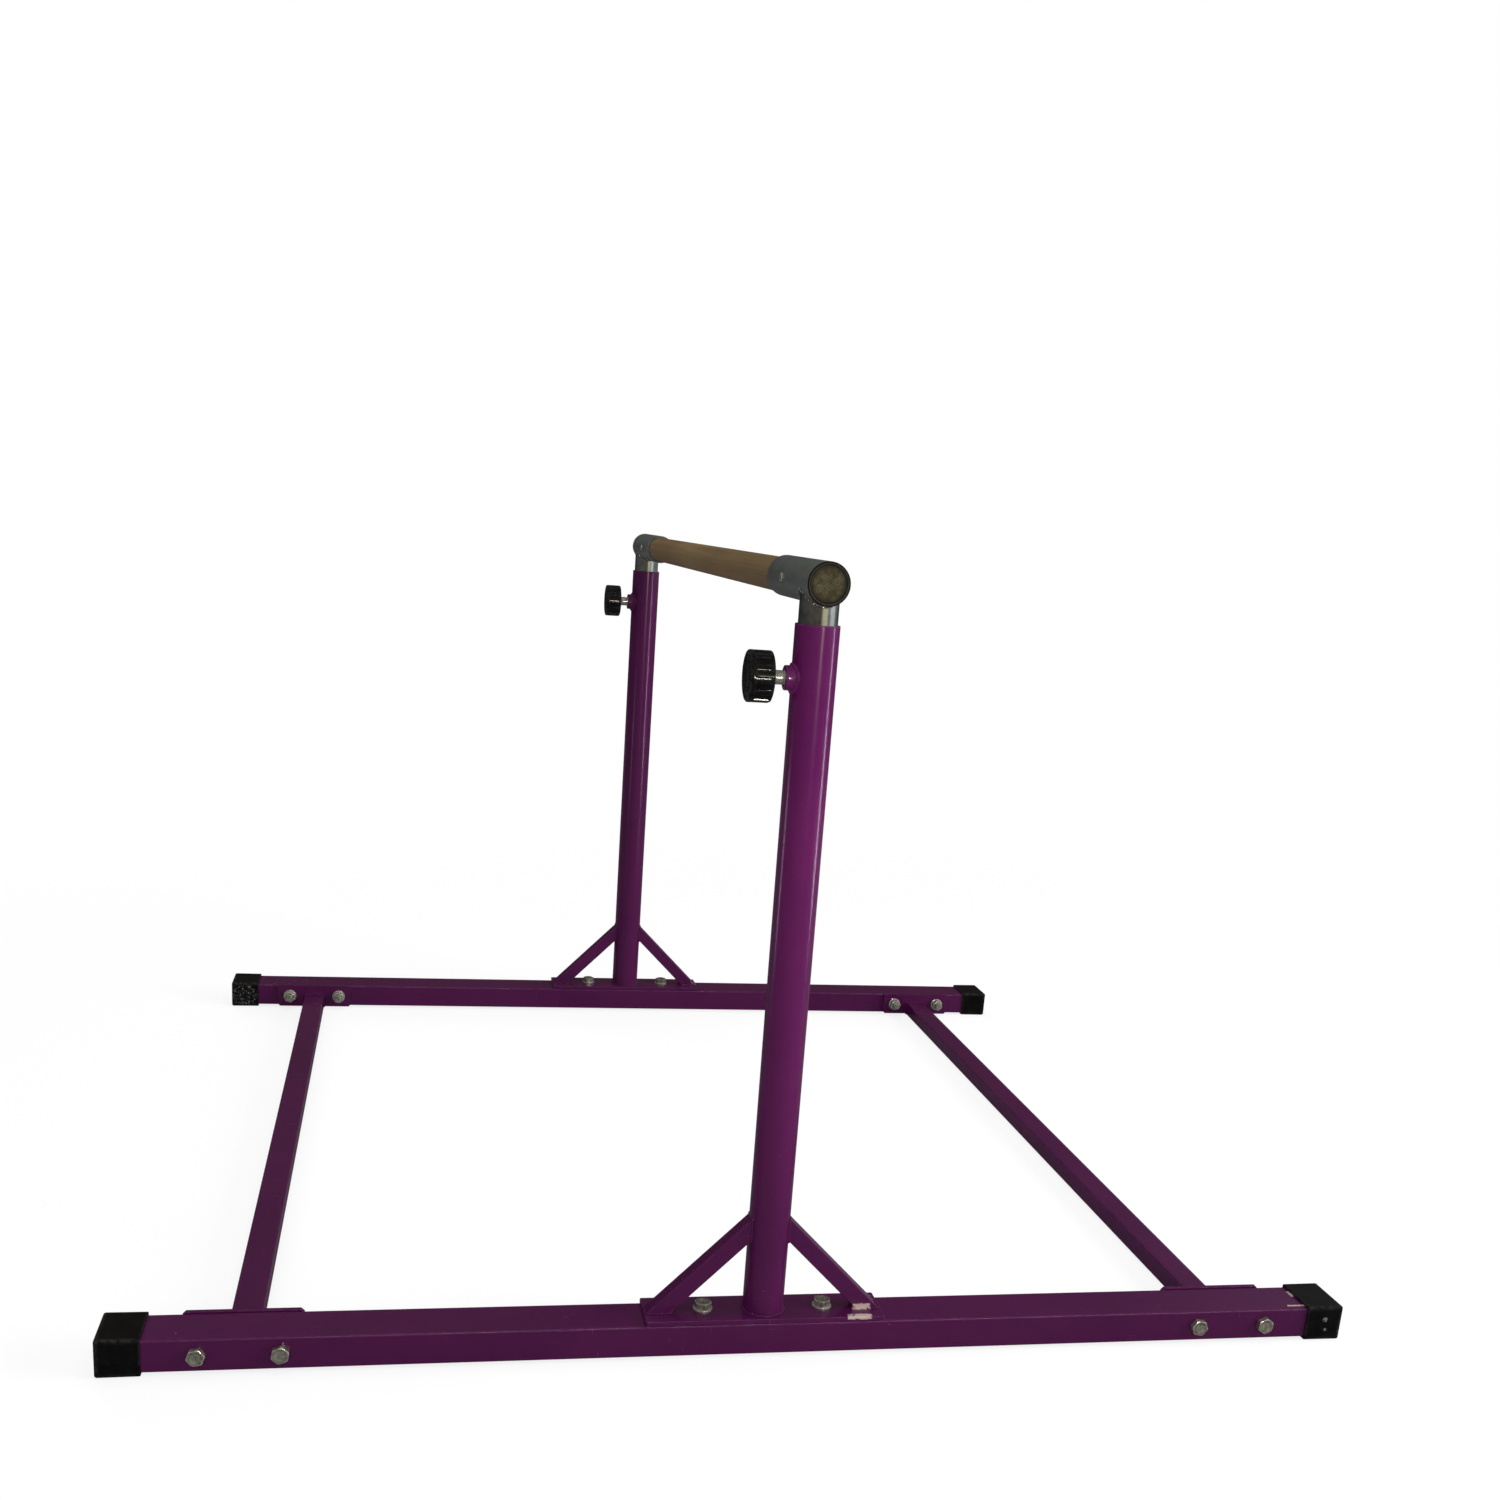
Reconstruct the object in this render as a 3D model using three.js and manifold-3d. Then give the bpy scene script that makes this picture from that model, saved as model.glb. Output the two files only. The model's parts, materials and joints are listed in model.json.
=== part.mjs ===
// Height-adjustable single training bar for young gymnasts: a wooden bar held in two steel
// sleeves on telescoping uprights, standing on a bolted floor frame.
//
// Frame: millimetres, +Z up, origin on the floor at the centre of the frame.
// X runs along the two base tubes (left is -X, right is +X), Y runs along the bar
// (near is -Y, far is +Y). The bar is modelled at its lowest height.

import * as THREE from 'three';
import { mergeVertices } from 'three/addons/utils/BufferGeometryUtils.js';
import Module from 'manifold-3d';

const wasm = await Module();
wasm.setup();
const { Manifold, Mesh } = wasm;

// ---------------------------------------------------------------- shared dimensions
const GAP = 0.3;                 // clearance between touching pieces
const PAST = 5;                  // how far a cutter runs past the face it opens
const TUBE_SEGMENTS = 32;        // flats round a tube
const HOLE_SEGMENTS = 12;        // flats round a small hole or shank
const WASHER_SEGMENTS = 20;
const POST_SPACING = 1425;       // between the two uprights, and the two base tubes, along Y

const SIDES = [
  { name: 'near', sign: -1, y: -POST_SPACING / 2 },
  { name: 'far', sign: 1, y: POST_SPACING / 2 },
];
const HANDS = [{ name: 'left', sign: -1 }, { name: 'right', sign: 1 }];

// ---------------------------------------------------------------- solids and meshes
function toSolid(geometry) {
  geometry.deleteAttribute('normal');
  geometry.deleteAttribute('uv');
  const merged = mergeVertices(geometry, 1e-4);
  return new Manifold(new Mesh({
    numProp: 3,
    vertProperties: new Float32Array(merged.attributes.position.array),
    triVerts: new Uint32Array(merged.index.array),
  }));
}

function toGeometry(solid) {
  const mesh = solid.getMesh();
  const geometry = new THREE.BufferGeometry();
  const positions = new Float32Array(mesh.vertProperties);
  geometry.setAttribute('position', new THREE.BufferAttribute(positions, 3));
  geometry.setIndex(new THREE.BufferAttribute(new Uint32Array(mesh.triVerts), 1));
  geometry.computeVertexNormals();
  return geometry;
}

const FINISHES = {
  purple: { color: 0x4d1a4c, roughness: 0.3, metalness: 0.0 },
  black: { color: 0x0c0c0d, roughness: 0.5, metalness: 0.0 },
  zinc: { color: 0x9c9b8c, roughness: 0.35, metalness: 1.0 },
  chrome: { color: 0xb9bbb8, roughness: 0.2, metalness: 1.0 },
  grey: { color: 0x55585a, roughness: 0.45, metalness: 0.8 },
  wood: { color: 0x7b5c44, roughness: 0.6, metalness: 0.0 },
};

const group = new THREE.Group();
function add(name, solid, finish) {
  const material = new THREE.MeshStandardMaterial(FINISHES[finish]);
  const mesh = new THREE.Mesh(toGeometry(solid), material);
  mesh.name = name;
  group.add(mesh);
}

// ---------------------------------------------------------------- outlines and prisms
const polar = (radius, angle) => new THREE.Vector2(
  radius * Math.cos(angle), radius * Math.sin(angle));

const circle = (radius, segments = TUBE_SEGMENTS) => Array.from({ length: segments },
  (_, i) => polar(radius, (2 * Math.PI * i) / segments));

// rounded rectangle centred on the origin
function roundRect(width, height, radius, cornerSteps = 3) {
  const right = width / 2 - radius;
  const top = height / 2 - radius;
  const corners = [[right, top, 0], [-right, top, 90], [-right, -top, 180], [right, -top, 270]];
  return corners.flatMap(([x, y, startAngle]) => Array.from({ length: cornerSteps + 1 }, (_, i) => {
    const angle = THREE.MathUtils.degToRad(startAngle + (90 * i) / cornerSteps);
    return polar(radius, angle).add(new THREE.Vector2(x, y));
  }));
}

// polygon extruded along +Z from z = 0, with optional hole outlines
function prism(points, length, holes = []) {
  const shape = new THREE.Shape(points);
  for (const hole of holes) shape.holes.push(new THREE.Path(hole.slice().reverse()));
  return new THREE.ExtrudeGeometry(shape, { depth: length, bevelEnabled: false, steps: 1 });
}

// rectangular tube along +Z
function rectTube({ width, height, wall, radius, boreRadius, length, steps, boreSteps }) {
  const bore = roundRect(width - 2 * wall, height - 2 * wall, boreRadius, boreSteps);
  return prism(roundRect(width, height, radius, steps), length, [bore]);
}

// round upright tube, as a solid
const roundTube = (radius, wall, y, z0, z1) => toSolid(
  prism(circle(radius), z1 - z0, [circle(radius - wall)]).translate(0, y, z0));

const X_AXIS = new THREE.Vector3(1, 0, 0);
const Y_AXIS = new THREE.Vector3(0, 1, 0);
const Z_AXIS = new THREE.Vector3(0, 0, 1);
const MINUS_Y_AXIS = new THREE.Vector3(0, -1, 0);

// Turns geometry made along +Z so that it runs along +X, with the outline's x on Y and y on Z.
const alongX = (geometry) => geometry.applyMatrix4(
  new THREE.Matrix4().makeBasis(Y_AXIS, Z_AXIS, X_AXIS));
// Turns geometry made along +Z so that it runs along -Y, with the outline's x on X and y on Z.
const alongMinusY = (geometry) => geometry.applyMatrix4(
  new THREE.Matrix4().makeBasis(X_AXIS, Z_AXIS, MINUS_Y_AXIS));

// ---------------------------------------------------------------- round and box solids
const cylinder = (radius, from, to, segments) => new THREE.CylinderGeometry(
  radius, radius, Math.abs(to - from), segments);

// cylinder along X, its ends given as distances to the left (-X) of x = 0
const cylLeft = (radius, from, to, y, z, segments = TUBE_SEGMENTS) => toSolid(
  cylinder(radius, from, to, segments).rotateZ(Math.PI / 2).translate(-(from + to) / 2, y, z));
const cylY = (radius, x, y0, y1, z, segments = TUBE_SEGMENTS) => toSolid(
  cylinder(radius, y0, y1, segments).translate(x, (y0 + y1) / 2, z));
const cylZ = (radius, x, y, z0, z1, segments = TUBE_SEGMENTS) => toSolid(
  cylinder(radius, z0, z1, segments).rotateX(Math.PI / 2).translate(x, y, (z0 + z1) / 2));

// body of revolution about Y, profile given as [radius, height] pairs
const lathe = (profile, segments) => new THREE.LatheGeometry(
  profile.map(([radius, height]) => new THREE.Vector2(radius, height)), segments);
// body of revolution about X, profile given as [radius, distance to the left of start]
const latheLeft = (profile, segments, y, z, start = 0) => toSolid(
  lathe(profile, segments).rotateZ(Math.PI / 2).translate(-start, y, z));

const box = (size, centre) => toSolid(new THREE.BoxGeometry(...size).translate(...centre));

// half turn about the vertical axis of the upright at y, from the left hand to the right
const halfTurn = (solid, y) => solid.rotate([0, 0, 180]).translate([0, 2 * y, 0]);

// ---------------------------------------------------------------- fasteners, made about +Y
const BOLT_R = 6;                // M12
const BOLT_TIP = 1;              // chamfer at the end of the shank
const BOLT_HOLE_R = 6.6;
const HEX_AF = 19;               // across the flats
const HEX_CORNER_R = HEX_AF / Math.sqrt(3);
const BOLT_HEAD_H = 7.5;
const BOLT_HEAD_SINK = 0.5;      // overlap of the shank into the head
const NUT_H = 10;
const NUT_BORE_R = BOLT_R + 0.5;
const NUT_SINK = 0.1;            // overlap of the nut's hexagon into its washer
const WASHER_R = 12;
const WASHER_T = 2.5;
const BOLT_WASHER_Y = 0.4;       // middle of a bolt's washer above the head's underside

// Hexagonal head or nut: a six-sided prism whose corners are turned down at the free face.
function hexagon(height) {
  const envelopeR = HEX_CORNER_R + 1;
  const envelope = [[0, -1], [envelopeR, -1], [envelopeR, height - 2.2],
    [HEX_AF / 2 - 0.4, height], [0, height]];
  return cylY(HEX_CORNER_R, 0, 0, height, 0, 6).intersect(toSolid(lathe(envelope, 12)));
}

// Bolt with its head from y = 0 upwards and its shank going down to y = -length.
function makeBolt(length) {
  const shank = [[0, -length], [BOLT_R - BOLT_TIP, -length], [BOLT_R, -length + BOLT_TIP],
    [BOLT_R, BOLT_HEAD_SINK], [0, BOLT_HEAD_SINK]];
  return hexagon(BOLT_HEAD_H).add(toSolid(lathe(shank, HOLE_SEGMENTS)));
}

// Nut with its washer face from y = 0 to y = WASHER_T, and the hexagon beyond it.
function makeNut() {
  const reach = 2 * NUT_H;
  return cylY(WASHER_R, 0, 0, WASHER_T, 0, WASHER_SEGMENTS)
    .add(hexagon(NUT_H).translate([0, WASHER_T - NUT_SINK, 0]))
    .subtract(cylY(NUT_BORE_R, 0, -reach, reach, 0, HOLE_SEGMENTS));
}

// ---------------------------------------------------------------- floor frame
const CAP_WALL = 3.2;
const CAP_LENGTH = 49.5;         // end cap, along X
const CAP_END = 5.7;             // thickness of the cap's end wall
const CAP_R = 3.2;               // outer corner radius

const BASE_LENGTH = 1524;        // base tube, along X
const BASE_W = 63.5;             // along Y
const BASE_H = 40;               // along Z
const BASE_WALL = 2.5;
const BASE_R = 2.4;              // outer corner radius
const BASE_BORE_R = 0.5;         // inner corner radius
const BASE_Z0 = CAP_WALL + GAP;  // the caps stand on the floor and lift the base tubes
const BASE_MID_Z = BASE_Z0 + BASE_H / 2;
const BASE_TOP = BASE_Z0 + BASE_H;
const FIXED_NUT_H = 11;          // nut under the base tube's top wall
const FIXED_NUT_SINK = 0.5;      // overlap of that nut into the wall
const POST_BOLT_X = 74.5;        // upright bolts, either side of the middle
const POST_BOLT_HOLE_DEPTH = 16; // through the wall and the fixed nut

const RAIL_X = 613;              // side rails, either side of the middle
const RAIL_W = 36.5;             // along X
const RAIL_H = 25.4;             // along Z
const RAIL_WALL = 2;
const RAIL_R = 2.6;
const RAIL_BORE_R = 0.6;
const RAIL_Z0 = 0.6;

const PLATE_LENGTH = 137.5;      // rail end plate, along X
const PLATE_H = 42.5;            // along Z
const PLATE_T = 6;               // along Y
const PLATE_Z0 = 2.6;
const PLATE_CHAMFER = 4;
const PLATE_Y = POST_SPACING / 2 - BASE_W / 2 - GAP;    // outer face, from the middle
const RAIL_END_Y = PLATE_Y - PLATE_T - GAP;             // end of a side rail

const RAIL_BOLT_LENGTH = 90;
const RAIL_BOLT_Z = BASE_MID_Z;
const RAIL_BOLT_HEAD_Y = POST_SPACING / 2 + BASE_W / 2 + GAP;
const RAIL_BOLT_OFFSET = 46;     // either side of the rail's middle
const RAIL_BOLTS = [{ name: 'a', sign: -1 }, { name: 'b', sign: 1 }];
const RAIL_NUT_TURN = 17;        // nut's turn beyond its bolt's, degrees
// turn of each rail bolt about its axis, degrees
const RAIL_BOLT_TURNS = {
  near: { left: { a: 45, b: 63 }, right: { a: 9, b: 81 } },
  far: { left: { a: 27, b: 99 }, right: { a: 45, b: 63 } },
};

const railBoltX = (hand, bolt) => hand.sign * RAIL_X + bolt.sign * RAIL_BOLT_OFFSET;

// base tube with a nut fixed under its top wall at each upright bolt
function makeBaseTube({ y }) {
  let tube = toSolid(alongX(rectTube({
    width: BASE_W,
    height: BASE_H,
    wall: BASE_WALL,
    radius: BASE_R,
    boreRadius: BASE_BORE_R,
    length: BASE_LENGTH,
  })).translate(-BASE_LENGTH / 2, y, BASE_MID_Z));
  const nutTop = BASE_TOP - BASE_WALL + FIXED_NUT_SINK;
  for (const hand of HANDS) {
    const x = hand.sign * POST_BOLT_X;
    tube = tube.add(cylZ(HEX_CORNER_R, x, y, nutTop - FIXED_NUT_H, nutTop, 6))
      .subtract(cylZ(BOLT_HOLE_R, x, y, BASE_TOP - POST_BOLT_HOLE_DEPTH, BASE_TOP + PAST,
        HOLE_SEGMENTS));
    for (const bolt of RAIL_BOLTS) {
      tube = tube.subtract(cylY(BOLT_HOLE_R, railBoltX(hand, bolt), y - BASE_W, y + BASE_W,
        RAIL_BOLT_Z, HOLE_SEGMENTS));
    }
  }
  return tube;
}

// end cap pushed over the end of the base tube
function makeBaseCap({ y }, hand) {
  const endX = -(BASE_LENGTH / 2 + GAP + CAP_END);
  const boreW = BASE_W + 2 * GAP;
  const boreH = BASE_H + 2 * GAP;
  const outside = roundRect(boreW + 2 * CAP_WALL, boreH + 2 * CAP_WALL, CAP_R);
  const bore = roundRect(boreW, boreH, BASE_R - 0.4);
  const cap = toSolid(alongX(prism(outside, CAP_LENGTH)).translate(endX, y, BASE_MID_Z))
    .subtract(toSolid(alongX(prism(bore, CAP_LENGTH)).translate(endX + CAP_END, y, BASE_MID_Z)));
  return hand.sign > 0 ? halfTurn(cap, y) : cap;
}

// plate on the end of the side rail, bolted to the inner face of the base tube
function makeRailPlate(side, hand) {
  const half = PLATE_LENGTH / 2;
  const flat = half - PLATE_CHAMFER;
  const upper = PLATE_H - PLATE_CHAMFER;
  const outline = [
    [-flat, 0], [flat, 0], [half, PLATE_CHAMFER], [half, upper],
    [flat, PLATE_H], [-flat, PLATE_H], [-half, upper], [-half, PLATE_CHAMFER],
  ].map(([x, z]) => new THREE.Vector2(x, z));
  const farFaceY = side.sign < 0 ? -PLATE_Y + PLATE_T : PLATE_Y;
  let plate = toSolid(alongMinusY(prism(outline, PLATE_T))
    .translate(hand.sign * RAIL_X, farFaceY, PLATE_Z0));
  for (const bolt of RAIL_BOLTS) {
    plate = plate.subtract(cylY(BOLT_HOLE_R, railBoltX(hand, bolt),
      farFaceY - PLATE_T - PAST, farFaceY + PAST, RAIL_BOLT_Z, HOLE_SEGMENTS));
  }
  return plate;
}

// the two bolts through the base tube and the plate, and their nuts
function addRailBolts(side, hand) {
  for (const bolt of RAIL_BOLTS) {
    const x = railBoltX(hand, bolt);
    const turn = RAIL_BOLT_TURNS[side.name][hand.name][bolt.name];
    const prefix = `${side.name}_${hand.name}_rail`;
    add(`${prefix}_bolt_${bolt.name}`, makeBolt(RAIL_BOLT_LENGTH)
      .rotate([0, turn, 0])
      .rotate([0, 0, side.sign < 0 ? 180 : 0])
      .translate([x, side.sign * RAIL_BOLT_HEAD_Y, RAIL_BOLT_Z]), 'zinc');
    add(`${prefix}_nut_${bolt.name}`, makeNut()
      .rotate([0, turn + RAIL_NUT_TURN, 0])
      .rotate([0, 0, side.sign < 0 ? 0 : 180])
      .translate([x, side.sign * RAIL_END_Y, RAIL_BOLT_Z]), 'zinc');
  }
}

function makeSideRail(hand) {
  return toSolid(alongMinusY(rectTube({
    width: RAIL_W,
    height: RAIL_H,
    wall: RAIL_WALL,
    radius: RAIL_R,
    boreRadius: RAIL_BORE_R,
    length: 2 * RAIL_END_Y,
  })).translate(hand.sign * RAIL_X, RAIL_END_Y, RAIL_Z0 + RAIL_H / 2));
}

// ---------------------------------------------------------------- uprights
const FOOT_LENGTH = 295;         // base plate of an upright, along X
const FOOT_W = 64;               // along Y
const FOOT_T = 6;                // along Z
const FOOT_Z0 = BASE_TOP + GAP;
const FOOT_TOP = FOOT_Z0 + FOOT_T;
const POST_BOLT_LENGTH = 30;
// turn of each upright bolt about its axis, degrees
const POST_BOLT_TURNS = { near: { left: -33, right: -11 }, far: { left: 11, right: 33 } };

const POST_R = 25;
const POST_WALL = 2.6;
const POST_Z0 = FOOT_TOP + GAP;
const POST_TOP = 870;
const PIN_Z = 811;               // axis of the locking pin
const PIN_HOLE_R = 5.3;
const PIN_HOLE_END = 10;         // end of the pin-hole cutters, in the tubes' hollow

const BRACE_SIZE = 21;           // square tube of the braces
const BRACE_WALL = 2;
const BRACE_R = 1.2;
const BRACE_BORE_R = 0.6;
const BRACE_FOOT_X = 145;        // outermost point of a brace's foot
const BRACE_LENGTH = 260;        // before its ends are cut
const BRACE_BELOW = 60;          // part of that length below the foot
const BRACE_END_X = -12;         // trimming plane inside the post
const BLOCK_SIZE = 600;          // cube that trims a brace

function makeFoot({ y }) {
  let foot = box([FOOT_LENGTH, FOOT_W, FOOT_T], [0, y, FOOT_Z0 + FOOT_T / 2]);
  for (const hand of HANDS) {
    foot = foot.subtract(cylZ(BOLT_HOLE_R, hand.sign * POST_BOLT_X, y,
      FOOT_Z0 - PAST, FOOT_TOP + PAST, HOLE_SEGMENTS));
  }
  return foot;
}

// bolt with a washer, standing on the foot
function makePostBolt(side, hand) {
  const washer = cylY(WASHER_R, 0, BOLT_WASHER_Y - WASHER_T / 2, BOLT_WASHER_Y + WASHER_T / 2, 0,
    WASHER_SEGMENTS);
  const headZ = FOOT_TOP + GAP + WASHER_T / 2 - BOLT_WASHER_Y;
  return makeBolt(POST_BOLT_LENGTH).add(washer)
    .rotate([0, POST_BOLT_TURNS[side.name][hand.name], 0])
    .rotate([90, 0, 0])
    .translate([hand.sign * POST_BOLT_X, side.y, headZ]);
}

// hole for the locking pin in the left wall of a tube
const pinHole = (tubeR, y, z) => cylLeft(PIN_HOLE_R, PIN_HOLE_END, tubeR + PAST, y, z,
  HOLE_SEGMENTS);

const makePost = ({ y }) => roundTube(POST_R, POST_WALL, y, POST_Z0, POST_TOP)
  .subtract(pinHole(POST_R, y, PIN_Z));

// fits a piece to the outside of the post
const postCutter = (y) => cylZ(POST_R + GAP, 0, y, 0, POST_TOP);

// square tube at 45 degrees, from the base plate up to the post
function makeBrace({ y }, hand) {
  // the tube's middle line meets the base plate here
  const footX = -(BRACE_FOOT_X - (BRACE_SIZE / 2) * Math.SQRT2);
  const tube = toSolid(alongX(rectTube({
    width: BRACE_SIZE,
    height: BRACE_SIZE,
    wall: BRACE_WALL,
    radius: BRACE_R,
    boreRadius: BRACE_BORE_R,
    length: BRACE_LENGTH,
    steps: 2,
    boreSteps: 1,
  })));
  const block = [BLOCK_SIZE, BLOCK_SIZE, BLOCK_SIZE];
  const brace = tube.translate([-BRACE_BELOW, 0, 0])
    .rotate([0, -45, 0])
    .translate([footX, y, POST_Z0])
    .subtract(box(block, [footX, y, POST_Z0 - BLOCK_SIZE / 2]))
    .subtract(box(block, [BRACE_END_X + BLOCK_SIZE / 2, y, POST_Z0]))
    .subtract(postCutter(y));
  return hand.sign > 0 ? halfTurn(brace, y) : brace;
}

// ---------------------------------------------------------------- locking pin
// Starts and ends are distances to the left (-X) of the upright's axis.
const BOSS_R = 13.7;
const BOSS_BORE_R = 8.3;
const BOSS_START = 19;           // inside the post, before it is cut to fit
const BOSS_END = 33.2;
const FLARE_R = 16.5;            // weld flare where the boss meets the post
const FLARE_END = 26.2;
const FLARE_TAPER = 3;           // length over which it narrows to the boss
const BARREL_R = 7.9;
const BARREL_START = 25.4;
const BARREL_END = 46.8;
const POCKET_R = 6.1;            // spring pocket inside the barrel
const POCKET_END = 44.3;
const PIN_R = 4.8;
const PIN_TIP = 15.5;
const PIN_CHAMFER = 1.5;
const COLLAR_R = 5.6;
const COLLAR_START = 28;
const COLLAR_END = 31;
const STEM_R = 3;
const STEM_END = 62;
const KNOB_R = 28.5;
const KNOB_BACK = 47.6;
const KNOB_FRONT = 75;
const KNOB_RIM = 5.6;            // plain rim in front of the flutes
const KNOB_SEGMENTS = 48;
const KNOB_FLUTES = 12;
const KNOB_FLUTE = 1.4;          // depth of a flute
const KNOB_FLUTE_HALF = 9;       // half of a flute's width, degrees
const KNOB_TURN = { near: 10.5, far: 15 };   // first flute, degrees above the -Y direction
const SPRING_WIRE_R = 0.45;
const SPRING_R = 4.6;
const SPRING_TURNS = 5;

// boss welded on the post, carrying the pin's barrel
function makeBoss({ y }) {
  const profile = [[0, BOSS_START], [FLARE_R, BOSS_START], [FLARE_R, FLARE_END - FLARE_TAPER],
    [BOSS_R, FLARE_END], [BOSS_R, BOSS_END], [0, BOSS_END]];
  return latheLeft(profile, 24, y, PIN_Z)
    .subtract(cylLeft(BOSS_BORE_R, PIN_HOLE_END, BOSS_END + PAST, y, PIN_Z, 20))
    .subtract(postCutter(y));
}

// barrel with the spring pocket, open towards the post
function makeBarrel({ y }) {
  return cylLeft(BARREL_R, BARREL_START, BARREL_END, y, PIN_Z, 20)
    .subtract(cylLeft(POCKET_R, BARREL_START - PAST, POCKET_END, y, PIN_Z, 16))
    .subtract(cylLeft(STEM_R + 0.4, POCKET_END - PAST, BARREL_END + PAST, y, PIN_Z,
      HOLE_SEGMENTS));
}

// chamfered nose, collar for the spring, stem out to the knob
function makePin({ y }) {
  const profile = [[0, PIN_TIP], [PIN_R - PIN_CHAMFER, PIN_TIP], [PIN_R, PIN_TIP + PIN_CHAMFER],
    [PIN_R, COLLAR_START], [COLLAR_R, COLLAR_START], [COLLAR_R, COLLAR_END],
    [STEM_R, COLLAR_END], [STEM_R, STEM_END], [0, STEM_END]];
  return latheLeft(profile, 16, y, PIN_Z);
}

// coil of the return spring, running left round the pin's axis
class Coil extends THREE.Curve {
  constructor(start, end, y) {
    super();
    Object.assign(this, { start, end, y });
  }

  getPoint(t, target = new THREE.Vector3()) {
    const angle = 2 * Math.PI * SPRING_TURNS * t;
    return target.set(-(this.start + (this.end - this.start) * t),
      this.y + SPRING_R * Math.cos(angle), PIN_Z + SPRING_R * Math.sin(angle));
  }
}

// return spring between the collar and the end of the pocket
function makeSpring({ y }) {
  const inset = GAP + SPRING_WIRE_R;
  return toSolid(new THREE.ExtrudeGeometry(new THREE.Shape(circle(SPRING_WIRE_R, 5)), {
    steps: 10 * SPRING_TURNS,
    extrudePath: new Coil(COLLAR_END + inset, POCKET_END - inset, y),
  }));
}

// inner outline of the ring that cuts the flutes; it stands clear of the knob between them
function fluteOutline(turn) {
  const clearR = KNOB_R + 4;
  const floorR = KNOB_R - KNOB_FLUTE;
  const flute = [[-KNOB_FLUTE_HALF, clearR], [-KNOB_FLUTE_HALF, floorR], [0, floorR],
    [KNOB_FLUTE_HALF, floorR], [KNOB_FLUTE_HALF, clearR]];       // [degrees, radius]
  return Array.from({ length: KNOB_FLUTES }, (_, i) => flute.map(([offset, radius]) => {
    const degrees = 180 - turn + (360 / KNOB_FLUTES) * i + offset;
    return polar(radius, THREE.MathUtils.degToRad(degrees));
  })).flat();
}

// fluted knob on the end of the stem, with a plain rim at its front
function makeKnob({ name, y }) {
  const profile = [[0, KNOB_BACK], [KNOB_R - 1.8, KNOB_BACK], [KNOB_R, KNOB_BACK + 1.6],
    [KNOB_R, KNOB_FRONT - 3], [KNOB_R - 1.2, KNOB_FRONT - 0.9], [KNOB_R - 4, KNOB_FRONT],
    [0, KNOB_FRONT]];
  const fluteEnd = KNOB_FRONT - KNOB_RIM;
  const fluteRing = prism(circle(KNOB_R + 8, KNOB_SEGMENTS), fluteEnd - KNOB_BACK + PAST,
    [fluteOutline(KNOB_TURN[name])]);
  return latheLeft(profile, KNOB_SEGMENTS, y, PIN_Z)
    .subtract(toSolid(alongX(fluteRing).translate(-fluteEnd, y, PIN_Z)))
    .subtract(cylLeft(STEM_R + 0.35, KNOB_BACK - PAST, STEM_END + 0.5, y, PIN_Z,
      HOLE_SEGMENTS));
}

// ---------------------------------------------------------------- telescoping section and bar
const BAR_Z = 914.4;             // bar axis at the lowest height
const BAR_R = 20.5;
const BAR_RECESS = 1.5;          // bar end inside the sleeve's mouth
const INNER_R = 22;
const INNER_WALL = 2.6;
const INNER_BOTTOM = 140;
const INNER_TOP = BAR_Z - 8;     // before it is cut to the sleeve
const HEIGHT_PITCH = 50.8;       // between height holes
const HEIGHT_COUNT = 13;
const SLEEVE_R = 23.7;
const SLEEVE_BORE_R = 20.8;
const SLEEVE_OUT = 37.5;         // sleeve beyond the upright's axis, outwards
const SLEEVE_IN = 177.5;         // and inwards
const SCREW_IN = 95;             // sleeve screw, inwards from the upright's axis
const SLEEVE_HOLE_R = 3;
const BAR_HOLE_R = 2.9;
const BAR_HOLE_DEPTH = 16;
// [radius, distance outwards], from just clear of the sleeve's surface
const SCREW_PROFILE = [
  [0, -18], [1.2, -16], [2.4, -12], [2.4, 0.2], [4.6, 0.2], [4.6, 1], [3.4, 2.4], [0, 2.8],
];

const screwY = (side) => side.sign * (POST_SPACING / 2 - SCREW_IN);

// inner tube, cut to the sleeve's curve at its top, with the height holes on its left
function makeInnerTube({ y }) {
  const reach = INNER_R + PAST;
  let tube = roundTube(INNER_R, INNER_WALL, y, INNER_BOTTOM, INNER_TOP)
    .subtract(cylY(SLEEVE_R + GAP, 0, y - reach, y + reach, BAR_Z));
  for (let i = 0; i < HEIGHT_COUNT; i++) {
    tube = tube.subtract(pinHole(INNER_R, y, PIN_Z - i * HEIGHT_PITCH));
  }
  return tube;
}

// sleeve that grips the end of the wooden bar
function makeSleeve(side) {
  const outer = POST_SPACING / 2 + SLEEVE_OUT;
  const inner = POST_SPACING / 2 - SLEEVE_IN;
  return cylY(SLEEVE_R, 0, side.sign * outer, side.sign * inner, BAR_Z)
    .subtract(cylY(SLEEVE_BORE_R, 0, side.sign * (outer + PAST), side.sign * (inner - PAST), BAR_Z))
    .subtract(cylLeft(SLEEVE_HOLE_R, SLEEVE_BORE_R - PAST, SLEEVE_R + PAST, screwY(side), BAR_Z,
      HOLE_SEGMENTS));
}

// screw through the sleeve into the wood
const makeScrew = (side) => latheLeft(
  SCREW_PROFILE, HOLE_SEGMENTS, screwY(side), BAR_Z, SLEEVE_R + GAP);

function makeBar() {
  const half = POST_SPACING / 2 + SLEEVE_OUT - BAR_RECESS;
  let bar = cylY(BAR_R, 0, -half, half, BAR_Z);
  for (const side of SIDES) {
    bar = bar.subtract(cylLeft(BAR_HOLE_R, BAR_R - BAR_HOLE_DEPTH, BAR_R + PAST, screwY(side),
      BAR_Z, HOLE_SEGMENTS));
  }
  return bar;
}

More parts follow.
